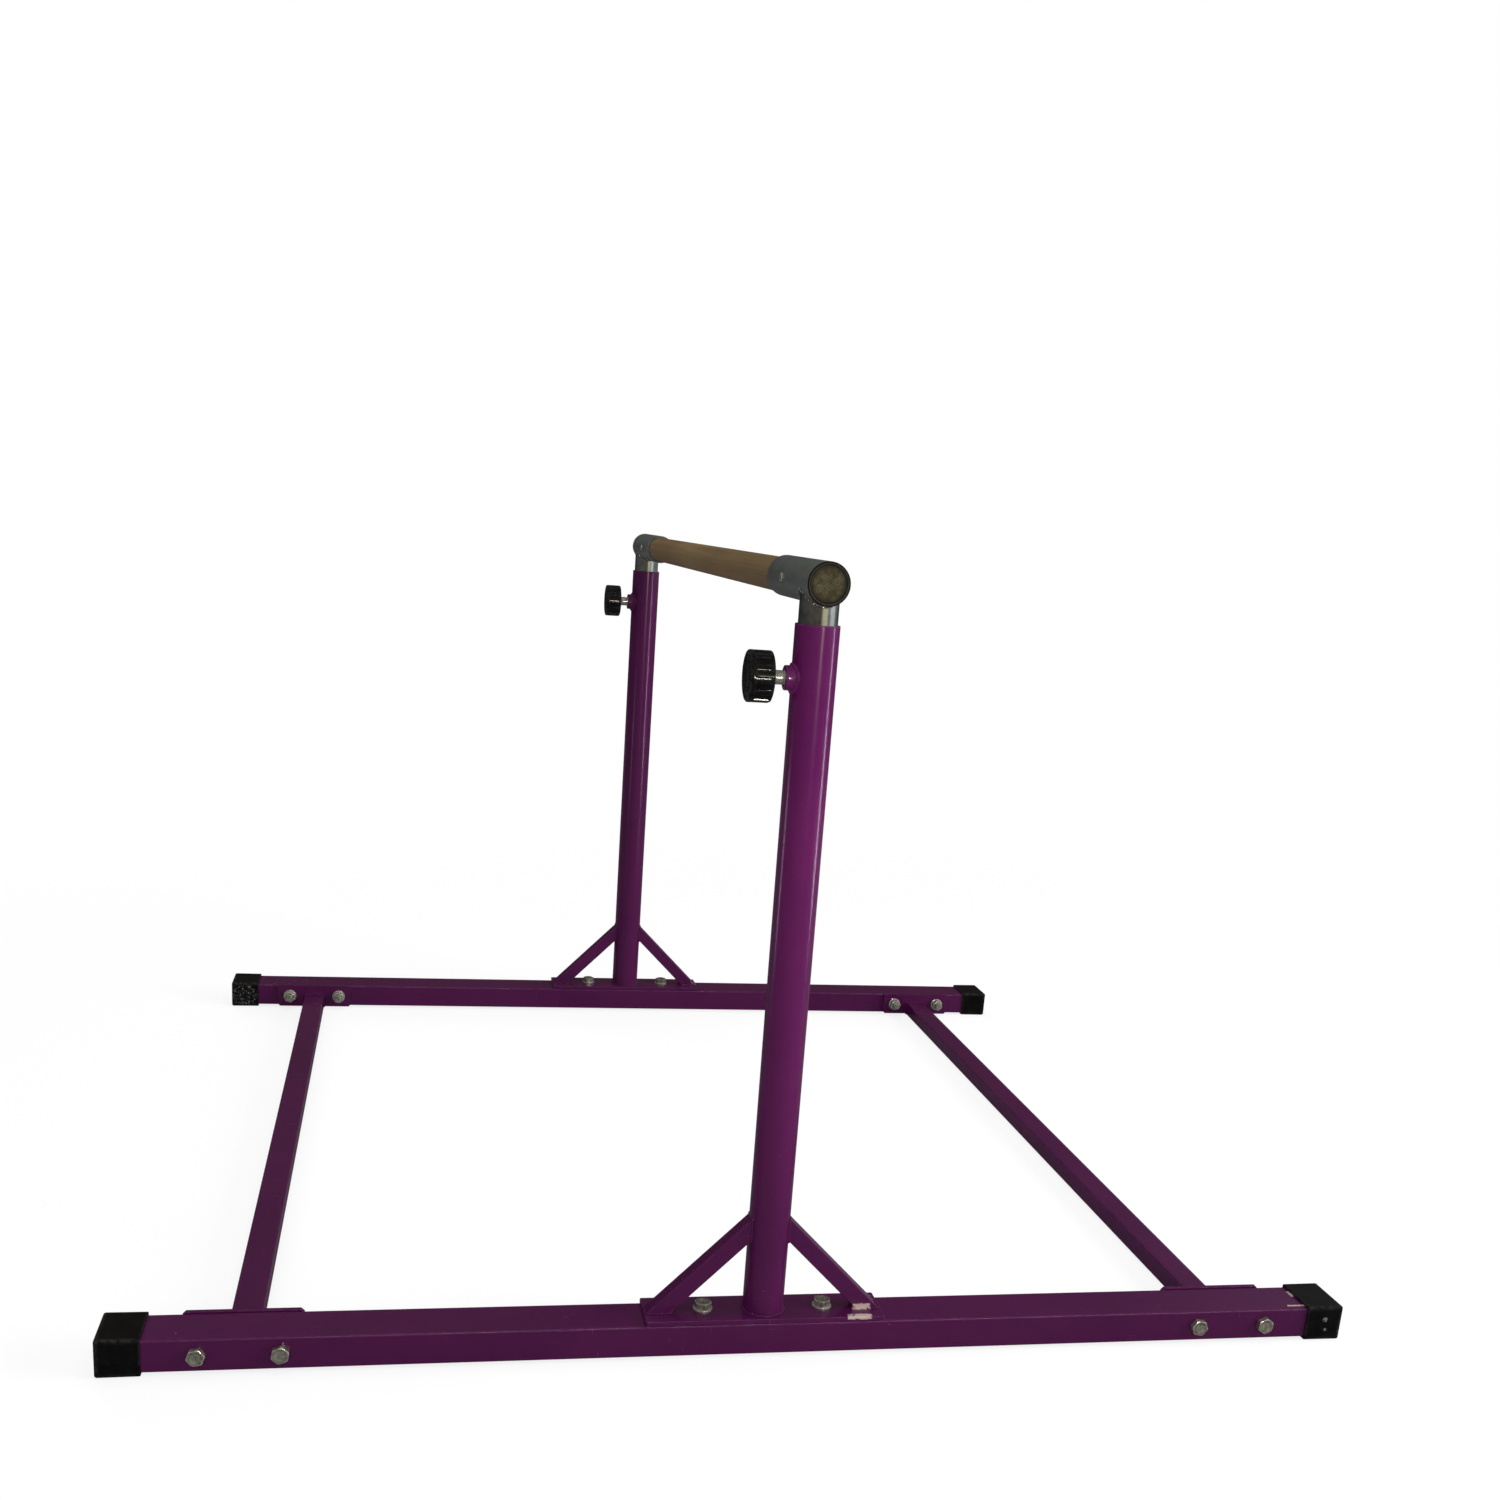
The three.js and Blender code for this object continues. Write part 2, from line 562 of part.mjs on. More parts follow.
// ---------------------------------------------------------------- assembly
for (const side of SIDES) {
  add(`${side.name}_base_tube`, makeBaseTube(side), 'purple');
  for (const hand of HANDS) {
    add(`${side.name}_${hand.name}_base_cap`, makeBaseCap(side, hand), 'black');
    add(`${side.name}_${hand.name}_rail_plate`, makeRailPlate(side, hand), 'purple');
    addRailBolts(side, hand);
  }
}

for (const hand of HANDS) add(`${hand.name}_side_rail`, makeSideRail(hand), 'purple');

for (const side of SIDES) {
  add(`${side.name}_post_base_plate`, makeFoot(side), 'purple');
  for (const hand of HANDS) {
    add(`${side.name}_post_bolt_${hand.name}`, makePostBolt(side, hand), 'zinc');
  }
  add(`${side.name}_post_tube`, makePost(side), 'purple');
  for (const hand of HANDS) {
    add(`${side.name}_${hand.name}_brace`, makeBrace(side, hand), 'purple');
  }
  add(`${side.name}_pin_boss`, makeBoss(side), 'purple');
  add(`${side.name}_pin_barrel`, makeBarrel(side), 'zinc');
  add(`${side.name}_lock_pin`, makePin(side), 'zinc');
  add(`${side.name}_pin_spring`, makeSpring(side), 'zinc');
  add(`${side.name}_lock_knob`, makeKnob(side), 'black');
  add(`${side.name}_inner_tube`, makeInnerTube(side), 'chrome');
  add(`${side.name}_bar_sleeve`, makeSleeve(side), 'grey');
  add(`${side.name}_sleeve_screw`, makeScrew(side), 'zinc');
}

add('wooden_bar', makeBar(), 'wood');

export default group;
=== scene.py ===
import json
import math
import random

import bmesh
import bpy
import numpy as np
from mathutils import Matrix, Vector

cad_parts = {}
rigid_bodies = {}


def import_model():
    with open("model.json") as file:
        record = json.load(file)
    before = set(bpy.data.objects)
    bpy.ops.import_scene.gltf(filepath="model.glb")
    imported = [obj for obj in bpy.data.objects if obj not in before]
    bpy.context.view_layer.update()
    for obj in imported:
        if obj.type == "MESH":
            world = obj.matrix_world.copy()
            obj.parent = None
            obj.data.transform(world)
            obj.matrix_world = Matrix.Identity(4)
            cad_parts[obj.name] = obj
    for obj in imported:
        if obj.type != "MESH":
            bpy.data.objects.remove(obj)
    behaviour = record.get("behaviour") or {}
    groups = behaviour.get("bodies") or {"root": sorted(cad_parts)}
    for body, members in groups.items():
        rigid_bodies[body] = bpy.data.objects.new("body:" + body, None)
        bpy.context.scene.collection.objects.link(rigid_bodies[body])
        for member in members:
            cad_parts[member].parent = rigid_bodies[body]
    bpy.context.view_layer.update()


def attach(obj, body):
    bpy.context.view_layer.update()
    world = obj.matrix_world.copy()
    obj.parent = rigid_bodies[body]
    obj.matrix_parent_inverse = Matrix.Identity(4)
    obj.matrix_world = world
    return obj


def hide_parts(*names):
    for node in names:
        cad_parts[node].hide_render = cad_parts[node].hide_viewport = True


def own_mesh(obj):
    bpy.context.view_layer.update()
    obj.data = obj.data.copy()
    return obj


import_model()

# ------------------------------------------------------------------ dimensions, millimetres
POST_Y = 712.5
BASE_HALF = 762.0
BASE_W, BASE_H, BASE_R, BASE_WALL = 63.5, 40.0, 2.4, 2.5
BASE_Z0 = 3.5
BASE_TOP = BASE_Z0 + BASE_H
BASE_MID = BASE_Z0 + BASE_H / 2
CAP_OUT = 768.0
CAP_LEN, CAP_W, CAP_H, CAP_R, CAP_END = 49.5, 70.5, 47.0, 3.2, 5.7
RAIL_X, RAIL_W, RAIL_H, RAIL_R, RAIL_END = 613.0, 36.5, 25.4, 2.6, 674.15
RAIL_MID = 0.6 + RAIL_H / 2
PLATE_LEN, PLATE_H, PLATE_Z0, PLATE_IN, PLATE_OUT = 137.5, 42.5, 2.6, 674.45, 680.45
BOLT_OFF, BOLT_Z = 46.0, 23.5
FOOT_LEN, FOOT_W, FOOT_Z0, FOOT_Z1 = 295.0, 64.0, 43.8, 49.8
POST_R, POST_WALL, POST_TOP = 25.0, 2.6, 870.0
BRACE_S, BRACE_FOOT_X = 21.0, 145.0
POST_BOLT_X = 74.5
BAR_Z, BAR_R = 914.4, 20.5
INNER_R, INNER_WALL, INNER_BOTTOM = 22.0, 2.6, 140.0
PITCH, HOLES, PIN_HOLE_R = 50.8, 13, 5.3
SLEEVE_R, SLEEVE_BORE = 23.7, 20.8
SLEEVE_OUT, SLEEVE_IN, SCREW_IN = 37.5, 177.5, 95.0
PIN_Z = 811.0
MM = 0.001


# ------------------------------------------------------------------ mesh building
class Part:
    """Vertices in millimetres, faces, a 0..1 edge value per vertex, and a material index per face."""

    def __init__(self):
        self.v, self.e, self.f, self.m = [], [], [], []

    def ring(self, pts, edge=0.0):
        first = len(self.v)
        self.v.extend(tuple(map(float, p)) for p in pts)
        if np.ndim(edge) == 0:
            self.e.extend([float(edge)] * len(pts))
        else:
            self.e.extend(float(x) for x in edge)
        return list(range(first, first + len(pts)))

    def bridge(self, a, b, m=0):
        n = len(a)
        for k in range(n):
            j = (k + 1) % n
            self.f.append((a[k], a[j], b[j], b[k]))
            self.m.append(m)

    def cap(self, a, m=0):
        self.f.append(tuple(a))
        self.m.append(m)

    def fan(self, a, centre, edge=0.0, m=0):
        c = self.ring([centre], edge)[0]
        n = len(a)
        for k in range(n):
            self.f.append((a[k], a[(k + 1) % n], c))
            self.m.append(m)

    def loft(self, rings, edges=None, loop=False, start="cap", end="cap", m=0):
        ids = []
        for k, pts in enumerate(rings):
            ids.append(self.ring(pts, 0.0 if edges is None else edges[k]))
        for k in range(len(ids) - 1):
            self.bridge(ids[k], ids[k + 1], m)
        if loop:
            self.bridge(ids[-1], ids[0], m)
            return ids
        for ring, how, pts in ((ids[0], start, rings[0]), (ids[-1], end, rings[-1])):
            if how == "cap":
                self.cap(ring, m)
            elif how == "fan":
                self.fan(ring, np.mean(np.asarray(pts), axis=0), 0.0, m)
        return ids


def axes(origin, u, v, w):
    """Maps an outline (n, 2) at height h to points in space."""
    o, u, v, w = (np.array(x, float) for x in (origin, u, v, w))

    def put(pts, h):
        pts = np.asarray(pts, float)
        h = np.broadcast_to(np.asarray(h, float), (len(pts),))
        return o + pts[:, :1] * u + pts[:, 1:2] * v + h[:, None] * w

    return put


def round_rect(w, h, r, seg=5, soft=1.4):
    """Outline as a function of how far it is drawn in."""

    def at(d):
        hw, hh, rr = w / 2 - d, h / 2 - d, max(r - d, 0.03)
        pts, ed = [], []
        for sx, sy, a0 in ((1, 1, 0), (-1, 1, 90), (-1, -1, 180), (1, -1, 270)):
            cx, cy = sx * (hw - rr), sy * (hh - rr)
            a, b = math.radians(a0), math.radians(a0 + 90)
            pts.append((cx + rr * math.cos(a) + soft * math.sin(a), cy + rr * math.sin(a) - soft * math.cos(a)))
            ed.append(0.0)
            for k in range(seg + 1):
                t = a + (b - a) * k / seg
                pts.append((cx + rr * math.cos(t), cy + rr * math.sin(t)))
                ed.append(0.55 + 0.45 * math.sin(math.pi * k / seg))
            pts.append((cx + rr * math.cos(b) - soft * math.sin(b), cy + rr * math.sin(b) + soft * math.cos(b)))
            ed.append(0.0)
        return np.array(pts), np.array(ed)

    return at


def round_poly(points, r, seg=3, soft=1.0):
    """Convex outline, counter-clockwise, with rounded corners."""
    base = np.array(points, float)
    n = len(base)

    def at(d):
        lines = []
        for k in range(n):
            p, q = base[k], base[(k + 1) % n]
            t = (q - p) / np.linalg.norm(q - p)
            nrm = np.array([-t[1], t[0]])
            lines.append((p + nrm * d, t))
        rr = max(r - d, 0.03)
        pts, ed = [], []
        for k in range(n):
            (p0, t0), (p1, t1) = lines[k - 1], lines[k]
            cross = t0[0] * t1[1] - t0[1] * t1[0]
            s = ((p1[0] - p0[0]) * t1[1] - (p1[1] - p0[1]) * t1[0]) / cross
            corner = p0 + t0 * s
            turn = math.acos(max(-1, min(1, float(t0 @ t1))))
            back = rr * math.tan(turn / 2)
            start = corner - t0 * back
            centre = start + np.array([-t0[1], t0[0]]) * rr
            a = math.atan2(*(start - centre)[::-1])
            pts.append(start - t0 * soft)
            ed.append(0.0)
            for j in range(seg + 1):
                t = a + turn * j / seg
                pts.append(centre + rr * np.array([math.cos(t), math.sin(t)]))
                ed.append(0.7)
            pts.append(corner + t1 * (back + soft))
            ed.append(0.0)
        return np.array(pts), np.array(ed)

    return at


def circle(r, n=64, phase=0.0):
    def at(d):
        a = phase + np.arange(n) * 2 * math.pi / n
        return np.c_[(r - d) * np.cos(a), (r - d) * np.sin(a)], np.zeros(n)

    return at


def prism(p, put, outline, w0, w1, e=0.6, seg=3, soft=1.2, m=0):
    """Solid with both end edges rounded by e."""
    rings, edges = [], []

    def one(d, w, ed=None):
        pts, own = outline(d)
        rings.append(put(pts, w))
        edges.append(own if ed is None else np.full(len(pts), ed))

    s = 1 if w1 > w0 else -1
    one(e + soft, w0, 0.0)
    for k in range(seg + 1):
        a = k / seg * math.pi / 2
        one(e * (1 - math.sin(a)), w0 + s * e * (1 - math.cos(a)), 0.9)
    one(0, w0 + s * (e + soft))
    one(0, w1 - s * (e + soft))
    for k in range(seg + 1):
        a = math.pi / 2 - k / seg * math.pi / 2
        one(e * (1 - math.sin(a)), w1 - s * e * (1 - math.cos(a)), 0.9)
    one(e + soft, w1, 0.0)
    p.loft(rings, edges, m=m)


def pipe(p, put, outline, w0, w1, wall, e=0.4, seg=2, mids=(), m=0):
    """Open-ended tube with wall thickness and rounded rims."""
    rings, edges = [], []

    def one(d, w, ed=None):
        pts, own = outline(d)
        rings.append(put(pts, w))
        edges.append(own if ed is None else np.full(len(pts), ed))

    s = 1 if w1 > w0 else -1
    one(0, w0 + s * (e + 1.5))
    for w in mids:
        one(0, w)
    one(0, w1 - s * (e + 1.5))
    for k in range(seg + 1):
        a = k / seg * math.pi / 2
        one(e * (1 - math.cos(a)), w1 - s * e * (1 - math.sin(a)), 0.9)
    for k in range(seg + 1):
        a = math.pi / 2 - k / seg * math.pi / 2
        one(wall - e * (1 - math.cos(a)), w1 - s * e * (1 - math.sin(a)), 0.9)
    one(wall, w1 - s * (e + 1.5), 0.0)
    one(wall, w0 + s * (e + 1.5), 0.0)
    for k in range(seg + 1):
        a = k / seg * math.pi / 2
        one(wall - e * (1 - math.cos(a)), w0 + s * e * (1 - math.sin(a)), 0.9)
    for k in range(seg + 1):
        a = math.pi / 2 - k / seg * math.pi / 2
        one(e * (1 - math.cos(a)), w0 + s * e * (1 - math.sin(a)), 0.9)
    p.loft(rings, edges, loop=True, m=m)


def lathe(p, put, profile, n=48, loop=False, edges=None, m=0, phase=0.0):
    """Body of revolution from (radius, height) pairs; a radius of 0 closes an end."""
    a = phase + np.arange(n) * 2 * math.pi / n
    cs = np.c_[np.cos(a), np.sin(a)]
    prev = None
    first = None
    edges = edges or [0.0] * len(profile)
    for (r, h), ed in zip(profile, edges):
        if r <= 1e-6:
            point = put(np.zeros((1, 2)), h)[0]
            if prev is not None:
                p.fan(prev, point, ed, m)
                prev = None
            else:
                first_point = point
                prev = ("point", first_point)
            continue
        ring = p.ring(put(cs * r, h), ed)
        if isinstance(prev, tuple):
            p.fan(ring, prev[1], ed, m)
        elif prev is not None:
            p.bridge(prev, ring, m)
        if first is None:
            first = ring
        prev = ring
    if loop:
        p.bridge(prev, first, m)


def softened(profile, r=0.5, seg=3, closed=False):
    """Rounds the corners of a lathe profile; returns the profile and an edge value for each point."""
    pts = [np.array(q, float) for q in profile]
    out, ed = [], []
    n = len(pts)
    for k in range(n):
        if not closed and k in (0, n - 1):
            out.append(pts[k])
            ed.append(0.0)
            continue
        a, b, c = pts[k - 1], pts[k], pts[(k + 1) % n]
        d0, d1 = np.linalg.norm(a - b), np.linalg.norm(c - b)
        rr = min(r, d0 * 0.45, d1 * 0.45)
        p0, p1 = b + (a - b) / d0 * rr, b + (c - b) / d1 * rr
        for j in range(seg + 1):
            t = j / seg
            out.append((1 - t) ** 2 * p0 + 2 * t * (1 - t) * b + t * t * p1)
            ed.append(0.9)
    return [tuple(q) for q in out], ed


def hexagon(n, af, turn=0.0, corner=0.25):
    a = np.arange(n) * 2 * math.pi / n
    loc = (a + math.pi / 6) % (math.pi / 3) - math.pi / 6
    r = np.minimum(af / 2 / np.cos(loc), af / math.sqrt(3) - corner)
    return a + turn, r


def hex_rings(put, af, h, turn, n=72, both=False):
    """Side and turned-down faces of a hexagon, from its lower edge to the circle on its free face."""
    a, r = hexagon(n, af, turn)
    rc = af / 2 - 0.35
    cs = np.c_[np.cos(a), np.sin(a)]
    drop = np.maximum(r - rc, 0) * math.tan(math.radians(30))
    rings, edges = [], []
    if both:
        rings += [put(cs * rc, 0), put(cs * r[:, None], drop + 0.05)]
        edges += [np.full(n, 0.8), np.full(n, 0.9)]
    else:
        rings += [put(cs * (r[:, None] - 0.3), 0), put(cs * r[:, None], 0.3)]
        edges += [np.full(n, 0.8), np.full(n, 0.5)]
    rings += [put(cs * r[:, None], 1.2 + (drop if both else 0)), put(cs * r[:, None], h - drop - 0.8),
              put(cs * r[:, None], h - drop), put(cs * rc, h), put(cs * (rc - 0.5), h + 0.02)]
    edges += [np.zeros(n), np.zeros(n), np.full(n, 0.9), np.full(n, 0.9), np.zeros(n)]
    return rings, edges, cs


def screw_thread(p, put, r, depth, pitch, h0, h1, n=28, m=0):
    """Threaded end from h0 to h1 with a turned-down tip; closed at both ends."""
    a = np.arange(n) * 2 * math.pi / n
    s = 1 if h1 > h0 else -1
    steps = max(4, int(abs(h1 - h0) / pitch * 6))
    rings, edges = [], []
    for k in range(steps + 1):
        h = h0 + (h1 - h0) * k / steps
        ph = (h / pitch - a / (2 * math.pi)) % 1.0
        rr = r - depth * (1 - np.abs(2 * ph - 1)) ** 1.0
        left = abs(h1 - h)
        rr = np.minimum(rr, r - depth - 0.1 + left * 1.0)
        rings.append(put(np.c_[rr * np.cos(a), rr * np.sin(a)], h))
        edges.append(np.abs(2 * ph - 1) * 0.8)
    p.loft(rings, edges, start="fan", end="fan", m=m)


def bead(p, path, ref, r, pitch=2.2, closed=True, seed=1, ripple=0.16, sides=8, flat=1.0, m=0, uneven=0.05):
    """Weld bead: overlapping ripples along a path. ref holds, per point, a direction across the path."""
    path, ref = np.asarray(path, float), np.asarray(ref, float)
    if closed:
        path, ref = np.vstack([path, path[:1]]), np.vstack([ref, ref[:1]])
    seg = np.linalg.norm(np.diff(path, axis=0), axis=1)
    s = np.r_[0, np.cumsum(seg)]
    total = s[-1]
    count = max(3, round(total / pitch))
    pitch = total / count
    k = count * 4
    at = np.linspace(0, total, k + 1)
    if closed:
        at = at[:-1]
    pos = np.c_[[np.interp(at, s, path[:, i]) for i in range(3)]].T
    nrm = np.c_[[np.interp(at, s, ref[:, i]) for i in range(3)]].T
    nxt = np.c_[[np.interp((at + 0.3) % total if closed else np.minimum(at + 0.3, total), s, path[:, i]) for i in range(3)]].T
    prv = np.c_[[np.interp((at - 0.3) % total if closed else np.maximum(at - 0.3, 0), s, path[:, i]) for i in range(3)]].T
    rng = np.random.default_rng(seed)
    size = 1 + rng.normal(0, uneven, count).clip(-0.4, 0.4)
    off = rng.normal(0, uneven * r, (count, 3)).clip(-0.35 * r, 0.35 * r)
    rings, edges = [], []
    for i in range(len(at)):
        t = nxt[i] - prv[i]
        t /= np.linalg.norm(t)
        x = nrm[i] - t * (nrm[i] @ t)
        x /= np.linalg.norm(x)
        y = np.cross(t, x)
        bead_no = int(at[i] / pitch + 1e-9) % count
        ang = np.arange(sides) * 2 * math.pi / sides
        ph = (at[i] / pitch) % 1.0
        swell = 1 - ripple * abs(2 * ph - 1) ** 1.5
        rad = r * swell * size[bead_no]
        if not closed:
            edge = min(at[i], total - at[i])
            rad *= min(1.0, 0.45 + 0.55 * edge / (r * 1.2))
        centre = pos[i] + off[bead_no] * (1 - abs(2 * ph - 1))
        rings.append(centre + rad * (np.cos(ang)[:, None] * x * flat + np.sin(ang)[:, None] * y))
        edges.append(np.full(sides, 0.4 + 0.6 * (1 - abs(2 * ph - 1))))
    if closed:
        p.loft(rings, edges, loop=True, m=m)
    else:
        p.loft(rings, edges, start="fan", end="fan", m=m)


def finish_mesh(name, p, mats, body, nodes=(), angle=32.0):
    me = bpy.data.meshes.new(name)
    me.from_pydata([(x * MM, y * MM, z * MM) for x, y, z in p.v], [], p.f)
    for mat in mats:
        me.materials.append(mat)
    me.polygons.foreach_set("material_index", p.m)
    at = me.attributes.new("edge", "FLOAT", "POINT")
    at.data.foreach_set("value", p.e)
    bm = bmesh.new()
    bm.from_mesh(me)
    bmesh.ops.recalc_face_normals(bm, faces=bm.faces)
    bm.to_mesh(me)
    bm.free()
    me.shade_smooth()
    me.set_sharp_from_angle(angle=math.radians(angle))
    ob = bpy.data.objects.new(name, me)
    bpy.context.scene.collection.objects.link(ob)
    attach(ob, body)
    if nodes:
        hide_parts(*nodes)
    return ob


# ------------------------------------------------------------------ materials
class Shader:
    """Short hand for building a node tree."""

    def __init__(self, name):
        self.mat = bpy.data.materials.new(name)
        self.mat.use_nodes = True
        self.t = self.mat.node_tree
        self.t.nodes.clear()
        self.out = self.t.nodes.new("ShaderNodeOutputMaterial")
        self.bsdf = self.t.nodes.new("ShaderNodeBsdfPrincipled")
        self.t.links.new(self.bsdf.outputs[0], self.out.inputs[0])
        self.pos = self.t.nodes.new("ShaderNodeTexCoord").outputs["Object"]

    def new(self, kind, **kw):
        n = self.t.nodes.new(kind)
        for k, v in kw.items():
            setattr(n, k, v)
        return n

    def link(self, value, socket):
        if isinstance(value, bpy.types.NodeSocket):
            self.t.links.new(value, socket)
        elif isinstance(value, (tuple, list)) and len(value) == 3 and socket.type == "RGBA":
            socket.default_value = (*value, 1.0)
        else:
            socket.default_value = value

    def math(self, op, a, b=0.0, c=None, clamp=False):
        n = self.new("ShaderNodeMath", operation=op, use_clamp=clamp)
        self.link(a, n.inputs[0])
        self.link(b, n.inputs[1])
        if c is not None:
            self.link(c, n.inputs[2])
        return n.outputs[0]

    def scale(self, xyz, turn=None):
        n = self.new("ShaderNodeMapping", vector_type="POINT")
        self.link(self.pos, n.inputs[0])
        n.inputs["Scale"].default_value = xyz
        if turn:
            n.inputs["Rotation"].default_value = turn
        return n.outputs[0]

    def noise(self, size_mm, detail=3.0, rough=0.55, vec=None, distort=0.0, seed=0.0):
        n = self.new("ShaderNodeTexNoise", noise_dimensions="4D")
        self.link(vec if vec is not None else self.pos, n.inputs["Vector"])
        n.inputs["W"].default_value = seed
        n.inputs["Scale"].default_value = 1000.0 / size_mm
        n.inputs["Detail"].default_value = detail
        n.inputs["Roughness"].default_value = rough
        n.inputs["Distortion"].default_value = distort
        return n.outputs[0]

    def remap(self, v, a, b, c=0.0, d=1.0):
        n = self.new("ShaderNodeMapRange", clamp=True, interpolation_type="SMOOTHSTEP")
        self.link(v, n.inputs[0])
        for k, x in zip((1, 2, 3, 4), (a, b, c, d)):
            self.link(x, n.inputs[k])
        return n.outputs[0]

    def mix(self, f, a, b, how="MIX"):
        n = self.new("ShaderNodeMix", data_type="RGBA", blend_type=how, clamp_factor=True)
        self.link(f, n.inputs[0])
        self.link(a, n.inputs[6])
        self.link(b, n.inputs[7])
        return n.outputs[2]

    def fmix(self, f, a, b):
        n = self.new("ShaderNodeMix", data_type="FLOAT", clamp_factor=True)
        self.link(f, n.inputs[0])
        self.link(a, n.inputs[2])
        self.link(b, n.inputs[3])
        return n.outputs[0]

    def attr(self, name):
        return self.new("ShaderNodeAttribute", attribute_name=name).outputs["Fac"]

    def near(self, point_mm, radius_mm, soft_mm):
        """1 inside a ball round a point, falling to 0 over soft_mm."""
        n = self.new("ShaderNodeVectorMath", operation="DISTANCE")
        self.link(self.pos, n.inputs[0])
        n.inputs[1].default_value = tuple(c * MM for c in point_mm)
        return self.remap(n.outputs["Value"], radius_mm * MM, (radius_mm + soft_mm) * MM, 1.0, 0.0)

    def box(self, centre_mm, half_mm, soft_mm):
        """1 inside a box with ragged sides, falling to 0 over soft_mm."""
        ragged = self.math("MULTIPLY", self.math("SUBTRACT", self.noise(4.0, 3, 0.7, seed=15.0), 0.5), 0.006)
        out = None
        for k in range(3):
            q = self.math("ABSOLUTE", self.math("SUBTRACT", self.axis(k), centre_mm[k] * MM))
            q = self.math("ADD", q, ragged)
            q = self.remap(q, half_mm[k] * MM, (half_mm[k] + soft_mm) * MM, 1.0, 0.0)
            out = q if out is None else self.math("MULTIPLY", out, q)
        return out

    def axis(self, which):
        n = self.new("ShaderNodeSeparateXYZ")
        self.link(self.pos, n.inputs[0])
        return n.outputs[which]

    def bump(self, height, strength, depth_mm, normal=None):
        n = self.new("ShaderNodeBump")
        n.inputs["Strength"].default_value = strength
        n.inputs["Distance"].default_value = depth_mm * MM
        self.link(height, n.inputs["Height"])
        if normal is not None:
            self.link(normal, n.inputs["Normal"])
        return n.outputs[0]

    def set(self, **kw):
        names = dict(color="Base Color", rough="Roughness", metal="Metallic", normal="Normal",
                     coat="Coat Weight", coat_rough="Coat Roughness", spec="Specular IOR Level",
                     ior="IOR", aniso="Anisotropic")
        for k, v in kw.items():
            self.link(v, self.bsdf.inputs[names[k]])
        return self.mat


def lin(hexa):
    out = []
    for k in (0, 2, 4):
        c = int(hexa[k:k + 2], 16) / 255
        out.append(c / 12.92 if c <= 0.04045 else ((c + 0.055) / 1.055) ** 2.4)
    return tuple(out)


def total(s, *parts):
    out = parts[0]
    for q in parts[1:]:
        out = s.math("MAXIMUM", out, q)
    return out


def purple_paint(name, tint=1.0, gloss=0.2):
    s = Shader(name)
    broad = s.noise(160, 2, seed=1.0)
    cloud = s.noise(22, 4, 0.6, seed=2.0)
    grain = s.noise(1.6, 3, 0.6, seed=3.0)
    peel = s.noise(4.2, 2, 0.45, seed=4.0)
    a = tuple(c * tint for c in (0.0395, 0.0026, 0.0330))
    b = tuple(c * tint for c in (0.0470, 0.0034, 0.0375))
    dull = tuple(c * tint for c in (0.0420, 0.0040, 0.0340))
    col = s.mix(s.remap(broad, 0.35, 0.65), a, b)
    col = s.mix(s.math("MULTIPLY", s.remap(cloud, 0.48, 0.72), 0.45), col, dull)
    col = s.mix(s.math("MULTIPLY", s.remap(grain, 0.60, 0.75), 0.07), col, (0.12, 0.03, 0.11))
    # thin coat over the edges
    edge = s.math("MULTIPLY", s.attr("edge"), s.remap(s.noise(7, 3, seed=5.0), 0.40, 0.70))
    col = s.mix(s.math("MULTIPLY", edge, 0.12), col, (0.15, 0.03, 0.12))
    # hairline scratches in two directions
    l1 = s.noise(1.1, 2, 0.5, vec=s.scale((0.02, 1.0, 1.0), (0.35, 0.55, 0.9)), seed=7.0)
    l2 = s.noise(1.3, 2, 0.5, vec=s.scale((1.0, 1.0, 0.02), (0.7, 0.25, 0.2)), seed=8.0)
    patch = s.remap(s.noise(55, 2, seed=9.0), 0.52, 0.66)
    scratch = s.math("MULTIPLY", s.math("MAXIMUM", s.remap(l1, 0.68, 0.74), s.remap(l2, 0.69, 0.75)), patch)
    col = s.mix(s.math("MULTIPLY", scratch, 0.25), col, (0.17, 0.07, 0.16))
    # painted glint beside the near right brace foot: pale patches on the brace and on the plate in front of it stand in
    # for light reflected from the weld, crossed by thin cracks
    glint_patches = total(s, s.box((122.5, -722.5, 51.5), (10.5, 2.5, 4.0), 1.6), s.box((116, -741.5, 49.8), (14.0, 3.6, 2.0), 2.0))
    cracks = s.remap(s.noise(6.5, 4, 0.6, seed=17.0), 0.39, 0.43)
    chips_and_glints = s.math("MULTIPLY", glint_patches, cracks)
    # small pale marks on the near tube's top face beside its right cap
    pale_marks_by_cap = total(s, s.box((716.0, -702, 43.5), (1.6, 6.5, 1.5), 1.0), s.box((707, -734.2, 43.5), (11.0, 1.2, 1.5), 1.0))
    chips_and_glints = s.math("MAXIMUM", chips_and_glints, pale_marks_by_cap)
    few = s.math("MAXIMUM", s.near((143, 702, 57), 3, 6), s.near((140, -690, 50), 2, 4))
    chips_and_glints = s.math("MAXIMUM", chips_and_glints, s.math("MULTIPLY", few, s.remap(s.noise(2.6, 3, 0.6, seed=12.0), 0.56, 0.60)))
    speck = s.math("MULTIPLY", s.remap(s.noise(5.0, 2, 0.5, seed=11.0), 0.785, 0.80), 0.7)
    chips_and_glints = s.math("MAXIMUM", chips_and_glints, speck)
    # one pale colour for the chips, the specks and the painted glint patches
    col = s.mix(chips_and_glints, col, (0.33, 0.25, 0.23))
    rough = s.math("ADD", s.math("MULTIPLY", cloud, 0.12), gloss - 0.05)
    rough = s.math("ADD", rough, s.math("MULTIPLY", scratch, 0.2))
    rough = s.fmix(chips_and_glints, rough, 0.45)
    n1 = s.bump(peel, 0.05, 0.25)
    n2 = s.bump(s.math("SUBTRACT", grain, s.math("MULTIPLY", s.math("MAXIMUM", chips_and_glints, scratch), 1.5)), 0.045, 0.12, n1)
    return s.set(color=col, rough=rough, normal=n2, coat=0.12, coat_rough=0.06, spec=0.38)


